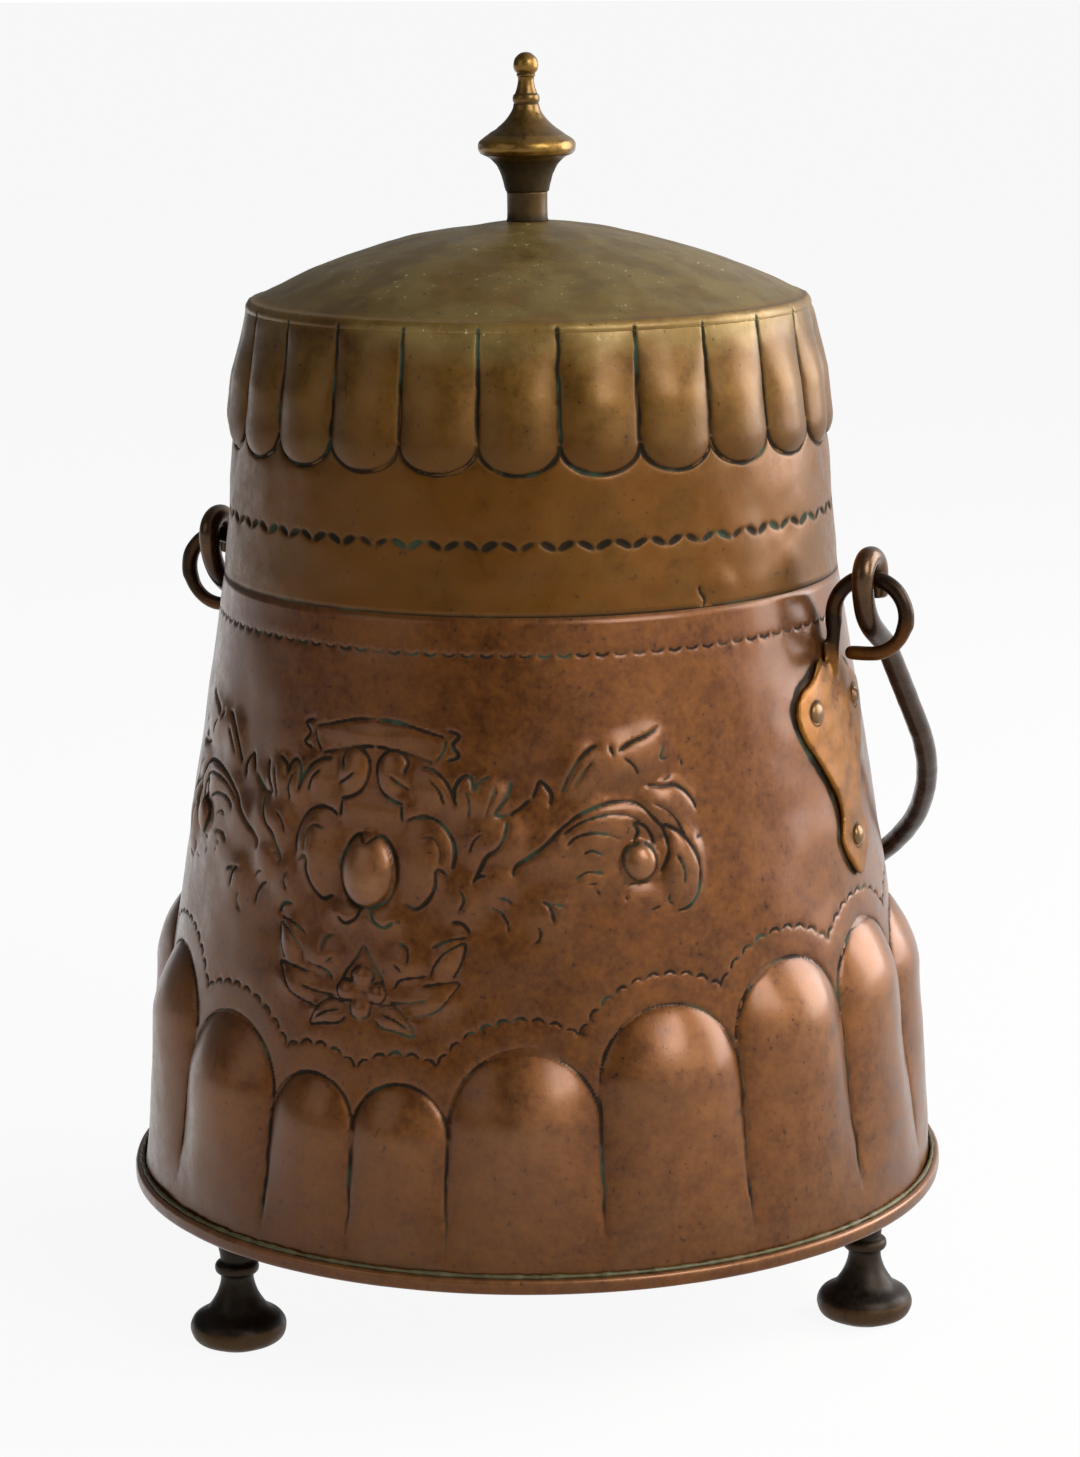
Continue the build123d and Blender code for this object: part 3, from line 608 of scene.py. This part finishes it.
def node_group(name, inputs):
    """A Geometry Nodes group with the named inputs, their sockets, and its last node."""
    tree = bpy.data.node_groups.new(name, "GeometryNodeTree")
    tree.interface.new_socket("Geometry", in_out="INPUT", socket_type="NodeSocketGeometry")
    for label, kind in inputs:
        tree.interface.new_socket(label, in_out="INPUT", socket_type="NodeSocket" + kind)
    tree.interface.new_socket("Geometry", in_out="OUTPUT", socket_type="NodeSocketGeometry")
    return tree, add(tree, "NodeGroupInput").outputs, add(tree, "NodeGroupOutput")


def baked(name, tree, start, values):
    """Runs a group on a starting mesh with the given input values, and keeps the result."""
    seed = put(name + "_start", start)
    modifier = seed.modifiers.new("shape", "NODES")
    modifier.node_group = tree
    for item in tree.interface.items_tree:
        if item.in_out == "INPUT" and item.name in values:
            modifier[item.identifier] = values[item.name]
    graph = bpy.context.evaluated_depsgraph_get()
    mesh = bpy.data.meshes.new_from_object(seed.evaluated_get(graph))
    mesh.name = name
    bpy.data.objects.remove(seed)
    return put(name, mesh)


# A run of soft solder fills the corner between the body and the folded rim. It was wiped in
# with a hot iron, so it is lumpy, and it has gone a dull yellow-green.
tree, given, result = node_group("Solder run", [
    ("Radius", "Float"), ("Height", "Float"), ("Thickness", "Float"),
    ("Lumps per metre", "Float"), ("Finish", "Material")])
circle = add(tree, "GeometryNodeCurvePrimitiveCircle",
             {"Resolution": 900, "Radius": given["Radius"]})
up = add(tree, "ShaderNodeCombineXYZ", {2: given["Height"]})
raised = add(tree, "GeometryNodeSetPosition", {"Geometry": circle, "Offset": up})
lump = add(tree, "ShaderNodeTexNoise", {"Scale": given["Lumps per metre"], "Detail": 3.0})
thick = add(tree, "ShaderNodeMapRange", {0: lump, 1: 0.3, 2: 0.7, 3: 0.55, 4: 1.15})
radius = add(tree, "ShaderNodeMath", {0: thick, 1: given["Thickness"]}, operation="MULTIPLY")
sized = add(tree, "GeometryNodeSetCurveRadius", {"Curve": raised, "Radius": radius})
section = add(tree, "GeometryNodeCurvePrimitiveCircle", {"Resolution": 8, "Radius": 1.0})
tube = add(tree, "GeometryNodeCurveToMesh",
           {"Curve": sized, "Profile Curve": section, "Scale": radius})
smooth = add(tree, "GeometryNodeSetShadeSmooth", {"Geometry": tube})
finish = add(tree, "GeometryNodeSetMaterial", {"Geometry": smooth, "Material": given["Finish"]})
tree.links.new(finish.outputs[0], result.inputs[0])
# Dull old solder: yellow-green with brown grime, and hardly any shine
solder = patinated("Soft solder, green bloom", "#302a18", "#615b3b", "#99936c", metal=0.3,
                   rough=(0.37, 0.62), cloud_mm=11.11)
LUMP_MM = 5.2631579
run = baked("solder_run", tree, bpy.data.meshes.new("empty"),
            {"Radius": 0.1628, "Height": 0.0554, "Thickness": 0.00105,
             "Lumps per metre": 1000 / LUMP_MM, "Finish": solder})
dress(run, solder, "solder", "pot", "base_solder_bead")

# Three feet of cast and turned bronze, each with a tenon through the base, peened over a
# washer inside. They are nearly black, with brass showing at the belly's lower edge.
FOOT_CIRCLE = 144.6
foot = [(0, 0), (8, 0), (12, 0)]
foot += run_of([(12, 0), (17.2, 2.6), (19, 7), (17.4, 11.2), (13.2, 14), (11.1, 16), (8.6, 20),
                (7.2, 23.5), (6.5, 26.5), (6.5, 28.6)], 0.9)[1:]
foot += run_of([(6.9, 28.9), (8.3, 30), (8.7, 31.6), (8.3, 33.2), (6.9, 34.3)], 0.6)
foot += run_of([(6.5, 34.8), (6.8, 37.5), (7.8, 41.5), (9.9, 45.0)], 0.9)
foot += [(10.0, 45.6), (10.0, 48.8), (9.6, UNDERSIDE_Z), (4, UNDERSIDE_Z), (4, 52.2), (6.4, 52.2),
         (5.8, 53.2), (3.6, 54.1), (0, 54.4)]
COLLAR_LOW_Z, COLLAR_TOP_Z = 28.8, 34.6
bronze = patinated("Turned bronze, blackened", "#1c1611", "#33291f", "#5a4022", metal=0.7,
                   rough=(0.25, 0.47), cloud_mm=33.33, film=0.05)
for name, angle in (("foot_front_left", -29.5), ("foot_right", 90.5), ("foot_back_left", 210.5)):
    centre = around(FOOT_CIRCLE, angle, 0)

    def foot_shape(place):
        r = hypot(place.x, place.y)
        nick = 1 + 0.012 * noise.noise(place / 6 + centre)
        away = min(abs(place.z - COLLAR_LOW_Z), abs(place.z - COLLAR_TOP_Z))
        groove = max(0.0, 1 - away / 0.7)
        worn = 0.9 * (place.z < 9 and r > 14) + 0.3 * (r > 8 and 30 < place.z < 33)
        return Vector((place.x * nick, place.y * nick, place.z)) + centre, 0.8 * groove, worn

    piece = turned("turned_" + name, foot, 64, foot_shape)
    dress(piece, bronze, "bronze", "pot", name)


# How many rounds of smoothing the soft zone of a forged piece gets before the rest
DRESSING_ROUNDS = 45


def forged(name, node, voxel, rounds, depth, shade, soft_zone=(0, 0)):
    """A copy of a solid with the soft edges of a forging: remeshed on a fine grid, smoothed,
    and given the hammer's shallow marks. Between the two heights of the soft zone it is
    dressed much smoother."""
    mesh = nodes[node].data.copy()
    bm = bmesh.new()
    bm.from_mesh(mesh)
    bm.transform(nodes[node].matrix_world)
    bmesh.ops.remove_doubles(bm, verts=bm.verts, dist=0.00001)
    bm.to_mesh(mesh)
    bm.free()
    rough = put(name + "_rough", mesh)
    remesh = rough.modifiers.new("grid", "REMESH")
    remesh.mode = "VOXEL"
    remesh.voxel_size = voxel
    graph = bpy.context.evaluated_depsgraph_get()
    soft = bpy.data.meshes.new_from_object(rough.evaluated_get(graph))
    bpy.data.objects.remove(rough)
    bm = bmesh.new()
    bm.from_mesh(soft)
    low, high = soft_zone
    zone = [v for v in bm.verts if low < v.co.z * 1000 < high]
    for step in range(DRESSING_ROUNDS + rounds):
        smoothed = zone if step < DRESSING_ROUNDS else bm.verts
        bmesh.ops.smooth_vert(bm, verts=smoothed, factor=0.5,
                              use_axis_x=True, use_axis_y=True, use_axis_z=True)
    bm.normal_update()
    dark = bm.verts.layers.float.new("dark")
    rubbed = bm.verts.layers.float.new("rubbed")
    for v in bm.verts:
        place = v.co * 1000
        v.co += v.normal * 0.001 * hammered(place, 9, depth)
        v[dark], v[rubbed] = shade(place)
    for f in bm.faces:
        f.smooth = True
    bm.to_mesh(soft)
    bm.free()
    soft.name = name
    return put(name, soft)


# Two brackets of forged brass. Each plate is drawn out at its top into a rod, which is curled
# outwards into an eye. Wear has left the plate orange and bright, and the eye brown.
RIVETS = [(-19.4, 250.5), (19.4, 250.5), (0.0, 199.0)]
HEAD_R, PLATE_THICK, EYE_IN_X = 4.2, 2.3, 0.145
TILT = (FOOT_R - EDGE_R) / (SEAT_Z - FLOOR_Z)
bracket_brass = patinated("Forged brass, worn", "#5a2f06", "#7a490e", "#a6742f", metal=0.72,
                          rough=(0.17, 0.37), cloud_mm=45.45,
                          stains=[("#1f130b", 1.3, 0.262, 0.280)], film=0.1)
for side, node in ((1, "bracket_right"), (-1, "bracket_left")):
    seats = [around(cone(z) + PLATE_THICK, side * 90 + degrees(y / cone(z)), z) for y, z in RIVETS]

    def bracket_shade(place):
        away = min((place - seat).length for seat in seats)
        ring = max(0.0, 1 - abs(away - HEAD_R - 0.7) / 0.9)
        return 0.85 * ring, 0.35 * min(1.0, max(0.15, (PLATE_TOP_Z - place.z) / 12))

    piece = forged("forged_" + node, node, voxel=0.0006, rounds=5, depth=0.3,
                   shade=bracket_shade, soft_zone=(257, 282))
    # The eye's loose end is curled in until it nearly meets the neck
    for v in piece.data.vertices:
        from_eye = EYE_IN_X - v.co.x * side
        if 0 < from_eye < 0.011 and 0.267 < v.co.z < 0.2755:
            v.co.x -= side * 0.4 * from_eye
    dress(piece, bracket_brass, "bracket_brass", "pot", node)

# Three rivets hold each bracket. Their heads are low domes, struck in a snap, and their
# tails are spread inside the pot over small rings.
tree, given, result = node_group("Struck rivets", [
    ("Head radius", "Float"), ("Head height", "Float"), ("Shank radius", "Float"),
    ("Grip", "Float"), ("Seed", "Int"), ("Finish", "Material")])
grip = given["Grip"]
ball = add(tree, "GeometryNodeMeshUVSphere", {"Segments": 32, "Rings": 18, "Radius": 1.0})
head_size = add(tree, "ShaderNodeCombineXYZ",
                {0: given["Head radius"], 1: given["Head radius"], 2: given["Head height"]})
head = add(tree, "GeometryNodeTransform", {"Geometry": ball, "Scale": head_size})
inward = add(tree, "ShaderNodeMath", {0: grip, 1: -1.0}, operation="MULTIPLY")
tail_place = add(tree, "ShaderNodeCombineXYZ", {2: inward})
tail = add(tree, "GeometryNodeTransform",
           {"Geometry": ball, "Scale": head_size, "Translation": tail_place})
shank = add(tree, "GeometryNodeMeshCylinder",
            {"Vertices": 24, "Depth": grip, "Radius": given["Shank radius"]})
half_way = add(tree, "ShaderNodeMath", {0: grip, 1: -0.5}, operation="MULTIPLY")
shank_place = add(tree, "ShaderNodeCombineXYZ", {2: half_way})
middle = add(tree, "GeometryNodeTransform", {"Geometry": shank, "Translation": shank_place})
rivet = add(tree, "GeometryNodeJoinGeometry")
for part in (middle, tail, head):
    tree.links.new(part.outputs[0], rivet.inputs[0])
out = add(tree, "GeometryNodeInputNamedAttribute", {"Name": "out"}, data_type="FLOAT_VECTOR")
aim = add(tree, "FunctionNodeAlignRotationToVector", {"Vector": out}, axis="Z")
jitter = add(tree, "FunctionNodeRandomValue",
             {"Min": (0.94, 0.94, 0.9), "Max": (1.05, 1.05, 1.1), "Seed": given["Seed"]},
             data_type="FLOAT_VECTOR")
placed = add(tree, "GeometryNodeInstanceOnPoints",
             {"Points": given["Geometry"], "Instance": rivet, "Rotation": aim, "Scale": jitter})
real = add(tree, "GeometryNodeRealizeInstances", {"Geometry": placed})
smooth = add(tree, "GeometryNodeSetShadeSmooth", {"Geometry": real})
finish = add(tree, "GeometryNodeSetMaterial", {"Geometry": smooth, "Material": given["Finish"]})
tree.links.new(finish.outputs[0], result.inputs[0])
# Copper rivets gone the colour of the plate, brighter on top
rivet_metal = patinated("Copper rivet, rubbed", "#5e4224", "#7f5f3b", "#b8946a", metal=0.7,
                        rough=(0.15, 0.34))
for side, node in ((1, "bracket_rivets_right"), (-1, "bracket_rivets_left")):
    spots = bpy.data.meshes.new("spots")
    places, outs = [], []
    for y, z in RIVETS:
        angle = side * 90 + degrees(y / cone(z))
        normal = around(1, angle, TILT).normalized()
        places.append((around(cone(z), angle, z) + normal * PLATE_THICK) * 0.001)
        outs.append(normal)
    spots.from_pydata(places, [], [])
    attribute = spots.attributes.new("out", "FLOAT_VECTOR", "POINT")
    for n, normal in enumerate(outs):
        attribute.data[n].vector = normal
    piece = baked("struck_" + node, tree, spots,
                  {"Head radius": HEAD_R * 0.001, "Head height": 0.0022, "Shank radius": 0.0021,
                   "Grip": 0.0052, "Seed": 3 + side, "Finish": rivet_metal})
    dress(piece, rivet_metal, "copper", "pot", node)

# The bail: one round rod, forged into half a circle, whose ends hook over the eyes. It is the
# darkest of the brass, and polished only where the hooks rub.
dark_brass = patinated("Forged brass, brown", "#1d130c", "#3d2a1a", "#6b4c2e", metal=0.75,
                       rough=(0.07, 0.26), cloud_mm=38.46)


def bail_shade(place):
    return 0.0, min(1.0, max(0.2, (place.z - 280) / 20))


handle = forged("forged_bail", "bail", voxel=0.0008, rounds=8, depth=0.22, shade=bail_shade)
dress(handle, dark_brass, "dark_brass", "bail", "bail")

# The lid's skirt. Brass sheet rolled to a ring and seamed, with twenty-four lobes beaten out
# under its shoulder, a line chased round each, and a wave of lens-shaped punch marks below.
# The sheet narrows slowly up to a waist at the lobes' feet, and faster above it.
WAIST_Z, WAIST_R = 348.0, 118.4
SHOULDER_Z, SHOULDER_R = 401.5, 111.8
LID_SHEET = 1.2
LOBES, LOBE_TURN, LOBE_SWELL = 24, 1.4, 3.7
LOBE_FOOT_Z, LOBE_FULL_Z = 358, 376.5
ARCH_Z, ARCH_H = 349.6, 11.0
CREASE_Z = 404.8


def skirt(z):
    if z < WAIST_Z:
        return EDGE_R + (WAIST_R - EDGE_R) * (z - SEAT_Z) / (WAIST_Z - SEAT_Z)
    return WAIST_R + (SHOULDER_R - WAIST_R) * (z - WAIST_Z) / (SHOULDER_Z - WAIST_Z)


def lobe_swell(angle, z):
    half = 180 / LOBES
    across = (angle - LOBE_TURN) % (2 * half) / half - 1
    under = max(0.0, (ARCH_Z + ARCH_H - z) / ARCH_H)
    fade = min(1.0, max(0.0, (SHOULDER_Z - z) / (SHOULDER_Z - LOBE_FULL_Z)))
    return LOBE_SWELL * fade * max(0.0, 1 - across**2 - under**2) ** 0.9


lid_marks = Marks()
half = 180 / LOBES
for lobe in range(LOBES):
    middle = LOBE_TURN + (2 * lobe + 1) * half
    arc = []
    for n in range(41):
        z = ARCH_Z + ARCH_H * (1 - sin(pi * n / 40))
        arc.append(around(skirt(z), middle - half * cos(pi * n / 40), z))
    lid_marks.strike(arc, half_width=1.05, depth=0.8, taper=1.0)
    rise = [ARCH_Z + ARCH_H + 0.7 * n for n in range(int((CREASE_Z - ARCH_Z - ARCH_H) / 0.7))]
    side = middle - half
    line = [around(skirt(z), side + 0.35 * noise.noise((z / 8, lobe, 0)), z) for z in rise]
    lid_marks.strike(line, half_width=0.85, depth=0.7, taper=1.5)
WAVE_Z, WAVES = 323.5, 106
for n in range(WAVES):
    side = 1 if n % 2 else -1
    middle = 360 * (n + 0.5) / WAVES
    arc = []
    for step in range(9):
        share = step / 4 - 1
        z = WAVE_Z + side * share * 1.5 + 0.5 * (1 - share * share)
        arc.append(around(skirt(z), middle + share * 0.44 * 360 / WAVES, z))
    lid_marks.strike(arc, half_width=1.5, depth=0.8, taper=2.4)
# A short crack runs up from the edge on the right, and the sheet is bent out beside it
CRACK_ANGLE, BULGE_ANGLE, BULGE_Z = 57.5, 61.5, 304
crack = []
for n in range(18):
    z = SEAT_Z + n * 0.5
    crack.append(around(skirt(z), CRACK_ANGLE + 0.5 * sin(n / 3), z))
lid_marks.strike(crack, half_width=0.8, depth=0.7, taper=1.0)
lid_marks.ready()


def skirt_face(face):
    c = face.calc_center_median()
    return c.z < SHOULDER_Z - 0.3 and hypot(c.x, c.y) > skirt(c.z) - 0.5


def skirt_shape(place):
    z = place.z
    r = hypot(place.x, place.y)
    angle = degrees(atan2(place.x, -place.y))
    if z > SHOULDER_Z - 1.3 and r < SHOULDER_R - 0.6:
        return place, 0.3, 0.0
    plain = skirt(z)
    swell = lobe_swell(angle, z)
    if r < plain - 0.5:
        return around(plain - LID_SHEET + swell, angle, z), 0.4, 0.0
    at = around(plain, angle, z)
    cut, dark = lid_marks.cut(at)
    hold = min(1.0, (z - SEAT_Z) / 8, (SHOULDER_Z - z) / 3)
    dent = hammered(at, size=22, depth=0.75) + hammered(at, size=9, depth=0.2)
    bulge = 1 - (turn_from(angle, BULGE_ANGLE) / 4) ** 2 - ((z - BULGE_Z) / 8) ** 2
    dent += 0.9 * max(0.0, bulge)
    # Painted shade: each lobe is darkened round its lower part, where it curves in
    painted_shade_lobe_foot = 0.36 * min(1.0, 2 * swell) * max(0.0, 1 - abs(z - LOBE_FOOT_Z) / 17)
    dark = max(dark, painted_shade_lobe_foot, 0.8 * max(0.0, 1 - (z - SEAT_Z) / 0.9))
    worn = 0.6 * min(1.0, swell / 3.2) * min(1.0, max(0.2, (z - LOBE_FOOT_Z + 2) / 20))
    return around(plain + swell + hold * dent - cut, angle, z), dark, worn


SKIRT_IN_Z, FLANGE_R = 400.3, 105.2
skirt_profile = [(skirt(z), z) for z in spaced(SEAT_Z, SHOULDER_Z, 46)[:-1]]
skirt_profile += [(skirt(401.35), 401.35), (SHOULDER_R, SHOULDER_Z),
                  (SHOULDER_R - 0.15, SHOULDER_Z), (FLANGE_R, SHOULDER_Z), (FLANGE_R, SKIRT_IN_Z)]
skirt_profile += [(skirt(z) - LID_SHEET, z) for z in spaced(SKIRT_IN_Z, SEAT_Z, 22)]
lid = turned("brass_skirt", skirt_profile, 330, skirt_shape, lid_marks, skirt_face,
             fine=(2.9, 2.0))
# Amber where it is handled, red-brown below the lobes, and olive with flecks of scale on the
# crown, where dust lies
brass = patinated("Sheet brass, amber patina", "#482d06", "#61400d", "#866129", metal=0.52,
                  rough=(0.21, 0.4), cloud_mm=58.82, flecks=("#c4bb98", 0.402),
                  stains=[("#633a00", 0.9, 0.383, 0.347), ("#846f3e", 0.95, 0.394, 0.410)],
                  film=0.2)
dress(lid, brass, "lid_brass", "lid", "lid_skirt")

# The crown: a shallow dome, raised from one disc and brazed on the skirt's flange. Its edge
# is dressed down flush with the skirt to a soft crease, and the lobes' lines run up to that.
DOME_R, DOME_X, DOME_Z = 244.0, 7.9, 191.0
DOME_IN_R, EDGE_IN_R, CREASE_TOP_Z = 9.5, 108.7, 405.0
HOLE_R, FERRULE_Z = 3.05, 434.4
# A dark, worn blot lies on the crown's front
BLOT_R, BLOT_ANGLE = 82, 12


def dome_z(r):
    return DOME_Z + sqrt(DOME_R**2 - (r + DOME_X) ** 2)


crown = [(109.3, SHOULDER_Z), (SHOULDER_R - 0.15, SHOULDER_Z), (SHOULDER_R, SHOULDER_Z),
         (111.8, 401.65), (111.85, 402.3), (111.75, 403.0), (111.45, 403.7), (110.95, 404.4),
         (110.3, CREASE_TOP_Z), (109.5, 405.4)]
crown += [(r, dome_z(r)) for r in spaced(EDGE_IN_R, DOME_IN_R, 46)]
crown += [(HOLE_R, FERRULE_Z), (HOLE_R, FERRULE_Z - LID_SHEET)]
crown += [(r, dome_z(r) - LID_SHEET) for r in spaced(DOME_IN_R, 106.5, 14)]


def crown_face(face):
    c = face.calc_center_median()
    return c.z > SHOULDER_Z + 0.1 and hypot(c.x, c.y) > EDGE_IN_R


def crown_shape(place):
    r = hypot(place.x, place.y)
    dent = hammered(place, size=26, depth=0.7) + hammered(place, size=9, depth=0.22)
    if r > EDGE_IN_R + 0.2:
        if r < 109.4 or place.z < SHOULDER_Z + 0.1:
            return place, 0.0, 0.2
        angle = degrees(atan2(place.x, -place.y))
        cut, dark = lid_marks.cut(around(skirt(place.z), angle, place.z))
        crease = max(0.0, 1 - abs(place.z - CREASE_TOP_Z) / 1.2)
        knock = crease * (0.35 * noise.noise(place / 5) + 0.1)
        # The crease is rubbed to the worn colour all round: wear, and partly a painted highlight
        return around(r - 0.6 * cut, angle, place.z + knock), dark, 0.3 + 0.7 * crease
    if place.z < dome_z(r) - 0.6:
        return place, 0.35, 0.0
    hold = min(1.0, max(0.0, (r - 10) / 12), (EDGE_IN_R + 2 - r) / 12)
    from_blot = (place - around(BLOT_R, BLOT_ANGLE, place.z)).length
    blot = max(0.0, 1.2 - from_blot / 21 + 0.6 * noise.noise(place / 8))
    worn = max(min(1.0, 1.4 * blot), 1 - (EDGE_IN_R - r) / 4, 0.0)
    return place + Vector((0, 0, hold * (dent - 0.3))), min(0.46, 0.7 * blot), worn


dome = turned("brass_crown", crown, 330, crown_shape, lid_marks, crown_face, fine=(2.9, 2.0))
dress(dome, brass, "lid_brass", "lid", "lid_crown")

# The finial: a plain ferrule and a turned knob with a long tail, cast in brass. Its disc and
# ball are handled and shine, and the hollow under the disc is painted nearly black as shade.
knob = [(0, 446.05), (8.4, 446.05), (8.55, 446.4)]
knob += run_of([(8.6, 446.6), (9.4, 449.8), (10.5, 453.2), (12.1, 456.3), (14.6, 458.9),
                (17.4, 460.4)], 0.8)
knob += run_of([(18.1, 460.7), (19.1, 462.2), (19.2, 463.8), (18.7, 465.5), (17.3, 466.7),
                (14.6, 468.6), (11.2, 471.0), (7.6, 474.4), (5.6, 477.6), (5.0, 479.8)], 0.6)
knob += run_of([(4.75, 480.1), (5.1, 480.7), (5.3, 482.0), (5.0, 483.4), (4.5, 483.8),
                (4.3, 484.3), (3.5, 486.6), (3.15, 489.0), (3.3, 490.4), (3.7, 490.9),
                (3.55, 491.5)], 0.4)
knob += run_of([(3.4, 491.6), (4.5, 492.9), (4.9, 495.0), (4.2, 497.5), (2.2, 499.4),
                (0.6, 499.88)], 0.5)
knob += [(0, 499.9)]
GROOVES = (446.3, 460.5, 480.0, 483.9, 491.5)
DISC_LOW_Z, DISC_TOP_Z, BALL_Z = 461, 468, 491.7


def knob_shape(place):
    r = hypot(place.x, place.y)
    groove = max(max(0.0, 1 - abs(place.z - z) / 0.55) for z in GROOVES)
    # Painted shade in the hollow under the disc
    shade = 0.75 * min(1.0, max(0.0, (DISC_LOW_Z - place.z) / 3)) * (place.z > 445.9)
    pit = 1 + 0.02 * noise.noise(place / 2.5) * (r > 2)
    worn = 1.0 if DISC_LOW_Z < place.z < DISC_TOP_Z or place.z > BALL_Z else 0.35
    return Vector((place.x * pit, place.y * pit, place.z)), max(0.85 * groove, shade), worn


# Its dirt colour is brown-black, as it also paints the shade under the knob's disc
cast_brass = patinated("Cast brass, handled", "#3f2a0c", "#634616", "#977332", metal=0.8,
                       rough=(0.11, 0.34), cloud_mm=14.29, verdigris="#241c12")
piece = turned("turned_knob", knob, 72, knob_shape)
dress(piece, cast_brass, "lid_brass", "lid", "finial_knob")
ferrule = [(HOLE_R, FERRULE_Z), (8.1, FERRULE_Z), (8.25, 434.9), (8.0, 435.6),
           (7.95, 438.5), (7.95, 442.0), (8.0, 445.2), (8.1, 445.9), (7.9, 446.0),
           (HOLE_R, 446.0)]


def ferrule_shape(place):
    # Painted shade: the ferrule, under the knob's disc, is darkened, most at its foot on the crown
    return place, max(0.5, 0.8 - abs(place.z - 435.2) / 4), 0.1


piece = turned("ferrule", ferrule, 64, ferrule_shape)
dress(piece, cast_brass, "lid_brass", "lid", "finial_ferrule")

# What only shows with the lid off keeps its solid: the washers, the rings under the rivets'
# tails, and the wire in the neck, whose black iron is dull with scale
iron = patinated("Iron wire, black", "#171412", "#2b2622", "#3d3630", metal=0.6,
                 rough=(0.32, 0.52))
for node, material in (("neck_wire", iron), ("foot_washers", copper),
                       ("rivet_roves_right", copper), ("rivet_roves_left", copper),
                       ("finial_washer", brass)):
    nodes[node].data.materials.clear()
    nodes[node].data.materials.append(material)

# The floor is plain and pale. Where it is seen straight or in the metal it is mostly its own
# white, and the rest takes the pot's soft shadow.
FLOOR_HALF = 30
floor_mesh = bpy.data.meshes.new("floor")
corners = [(x * FLOOR_HALF, y * FLOOR_HALF, 0) for x, y in ((-1, -1), (1, -1), (1, 1), (-1, 1))]
floor_mesh.from_pydata(corners, [], [(0, 1, 2, 3)])
floor = put("floor", floor_mesh)
pale = bpy.data.materials.new("Pale floor")
pale.use_nodes = True
tree = pale.node_tree
tree.nodes.clear()


def seen_directly(tree):
    """1 for a ray from the camera, or one that a mirror or glass sends on."""
    path = add(tree, "ShaderNodeLightPath")
    direct = add(tree, "ShaderNodeMath",
                 {0: path.outputs["Is Camera Ray"], 1: path.outputs["Is Transmission Ray"]},
                 operation="MAXIMUM")
    return add(tree, "ShaderNodeMath", {0: direct, 1: path.outputs["Is Glossy Ray"]},
               operation="MAXIMUM")


matt = add(tree, "ShaderNodeBsdfDiffuse", {"Color": srgb("#e6e5e2")})
white = add(tree, "ShaderNodeEmission", {"Color": srgb("#ffffff"), "Strength": 1.0})
share = add(tree, "ShaderNodeMath", {0: seen_directly(tree), 1: 0.92}, operation="MULTIPLY")
mix = add(tree, "ShaderNodeMixShader", {0: share, 1: matt, 2: white})
add(tree, "ShaderNodeOutputMaterial", {0: mix})
floor_mesh.materials.append(pale)

# The room: white behind and to the right, and grey on the left, so that the metal turns dark
# there. Two wide soft lamps stand on the right, and a weak one fills in from the left.
world = bpy.data.worlds.new("Room")
bpy.context.scene.world = world
world.use_nodes = True
tree = world.node_tree
tree.nodes.clear()
direction = add(tree, "ShaderNodeTexCoord").outputs["Generated"]
WHITE_SIDE = (0.9, 0.44, 0.0)
sides = add(tree, "ShaderNodeVectorMath", {0: direction, 1: WHITE_SIDE}, operation="DOT_PRODUCT")
wall_level = add(tree, "ShaderNodeMapRange",
                 {0: sides.outputs["Value"], 1: -0.35, 2: 0.8, 3: 0.12, 4: 1.0},
                 interpolation_type="SMOOTHSTEP")
level = add(tree, "ShaderNodeMapRange", {0: seen_directly(tree), 3: 0.5, 4: 1.0})
walls = add(tree, "ShaderNodeMath", {0: wall_level, 1: level}, operation="MULTIPLY")
backdrop = add(tree, "ShaderNodeLightPath").outputs["Is Camera Ray"]
strength = add(tree, "ShaderNodeMath", {0: walls, 1: backdrop}, operation="MAXIMUM")
sky = add(tree, "ShaderNodeBackground", {"Color": srgb("#ffffff"), "Strength": strength})
add(tree, "ShaderNodeOutputWorld", {0: sky})
POT_MIDDLE = Vector((0, 0, 0.25))
for name, place, size, power in (("key", (1.75, -0.75, 1.5), 1.1, 34.0),
                                 ("side", (1.45, 1.25, 0.9), 1.4, 48.0),
                                 ("fill", (-1.1, -1.9, 1.2), 1.4, 5.0)):
    lamp = bpy.data.lights.new(name, "AREA")
    lamp.size = size
    lamp.energy = power
    stand = put(name, lamp)
    stand.location = place
    stand.rotation_euler = (POT_MIDDLE - stand.location).to_track_quat("-Z", "Y").to_euler()

# The camera stands a metre and a half away, to the right of the cartouche, and looks down
# twelve degrees. Its place, turn and long lens are those that fit the photograph.
AZIMUTH, PITCH, ROLL, YAW = 26.0, 11.95, 0.6, 0.11
DISTANCE, EYE_HEIGHT = 1.4764, 0.5423
lens = bpy.data.cameras.new("camera")
lens.sensor_fit = "VERTICAL"
lens.sensor_height = 36.0
lens.lens = 91.96
camera = put("camera", lens)
camera.matrix_world = (
    Matrix.Translation(around(DISTANCE, AZIMUTH, EYE_HEIGHT))
    @ Matrix.Rotation(radians(AZIMUTH - YAW), 4, "Z")
    @ Matrix.Rotation(radians(90 - PITCH), 4, "X")
    @ Matrix.Rotation(radians(-ROLL), 4, "Z"))
bpy.context.scene.camera = camera
bpy.context.scene.view_settings.view_transform = "Standard"
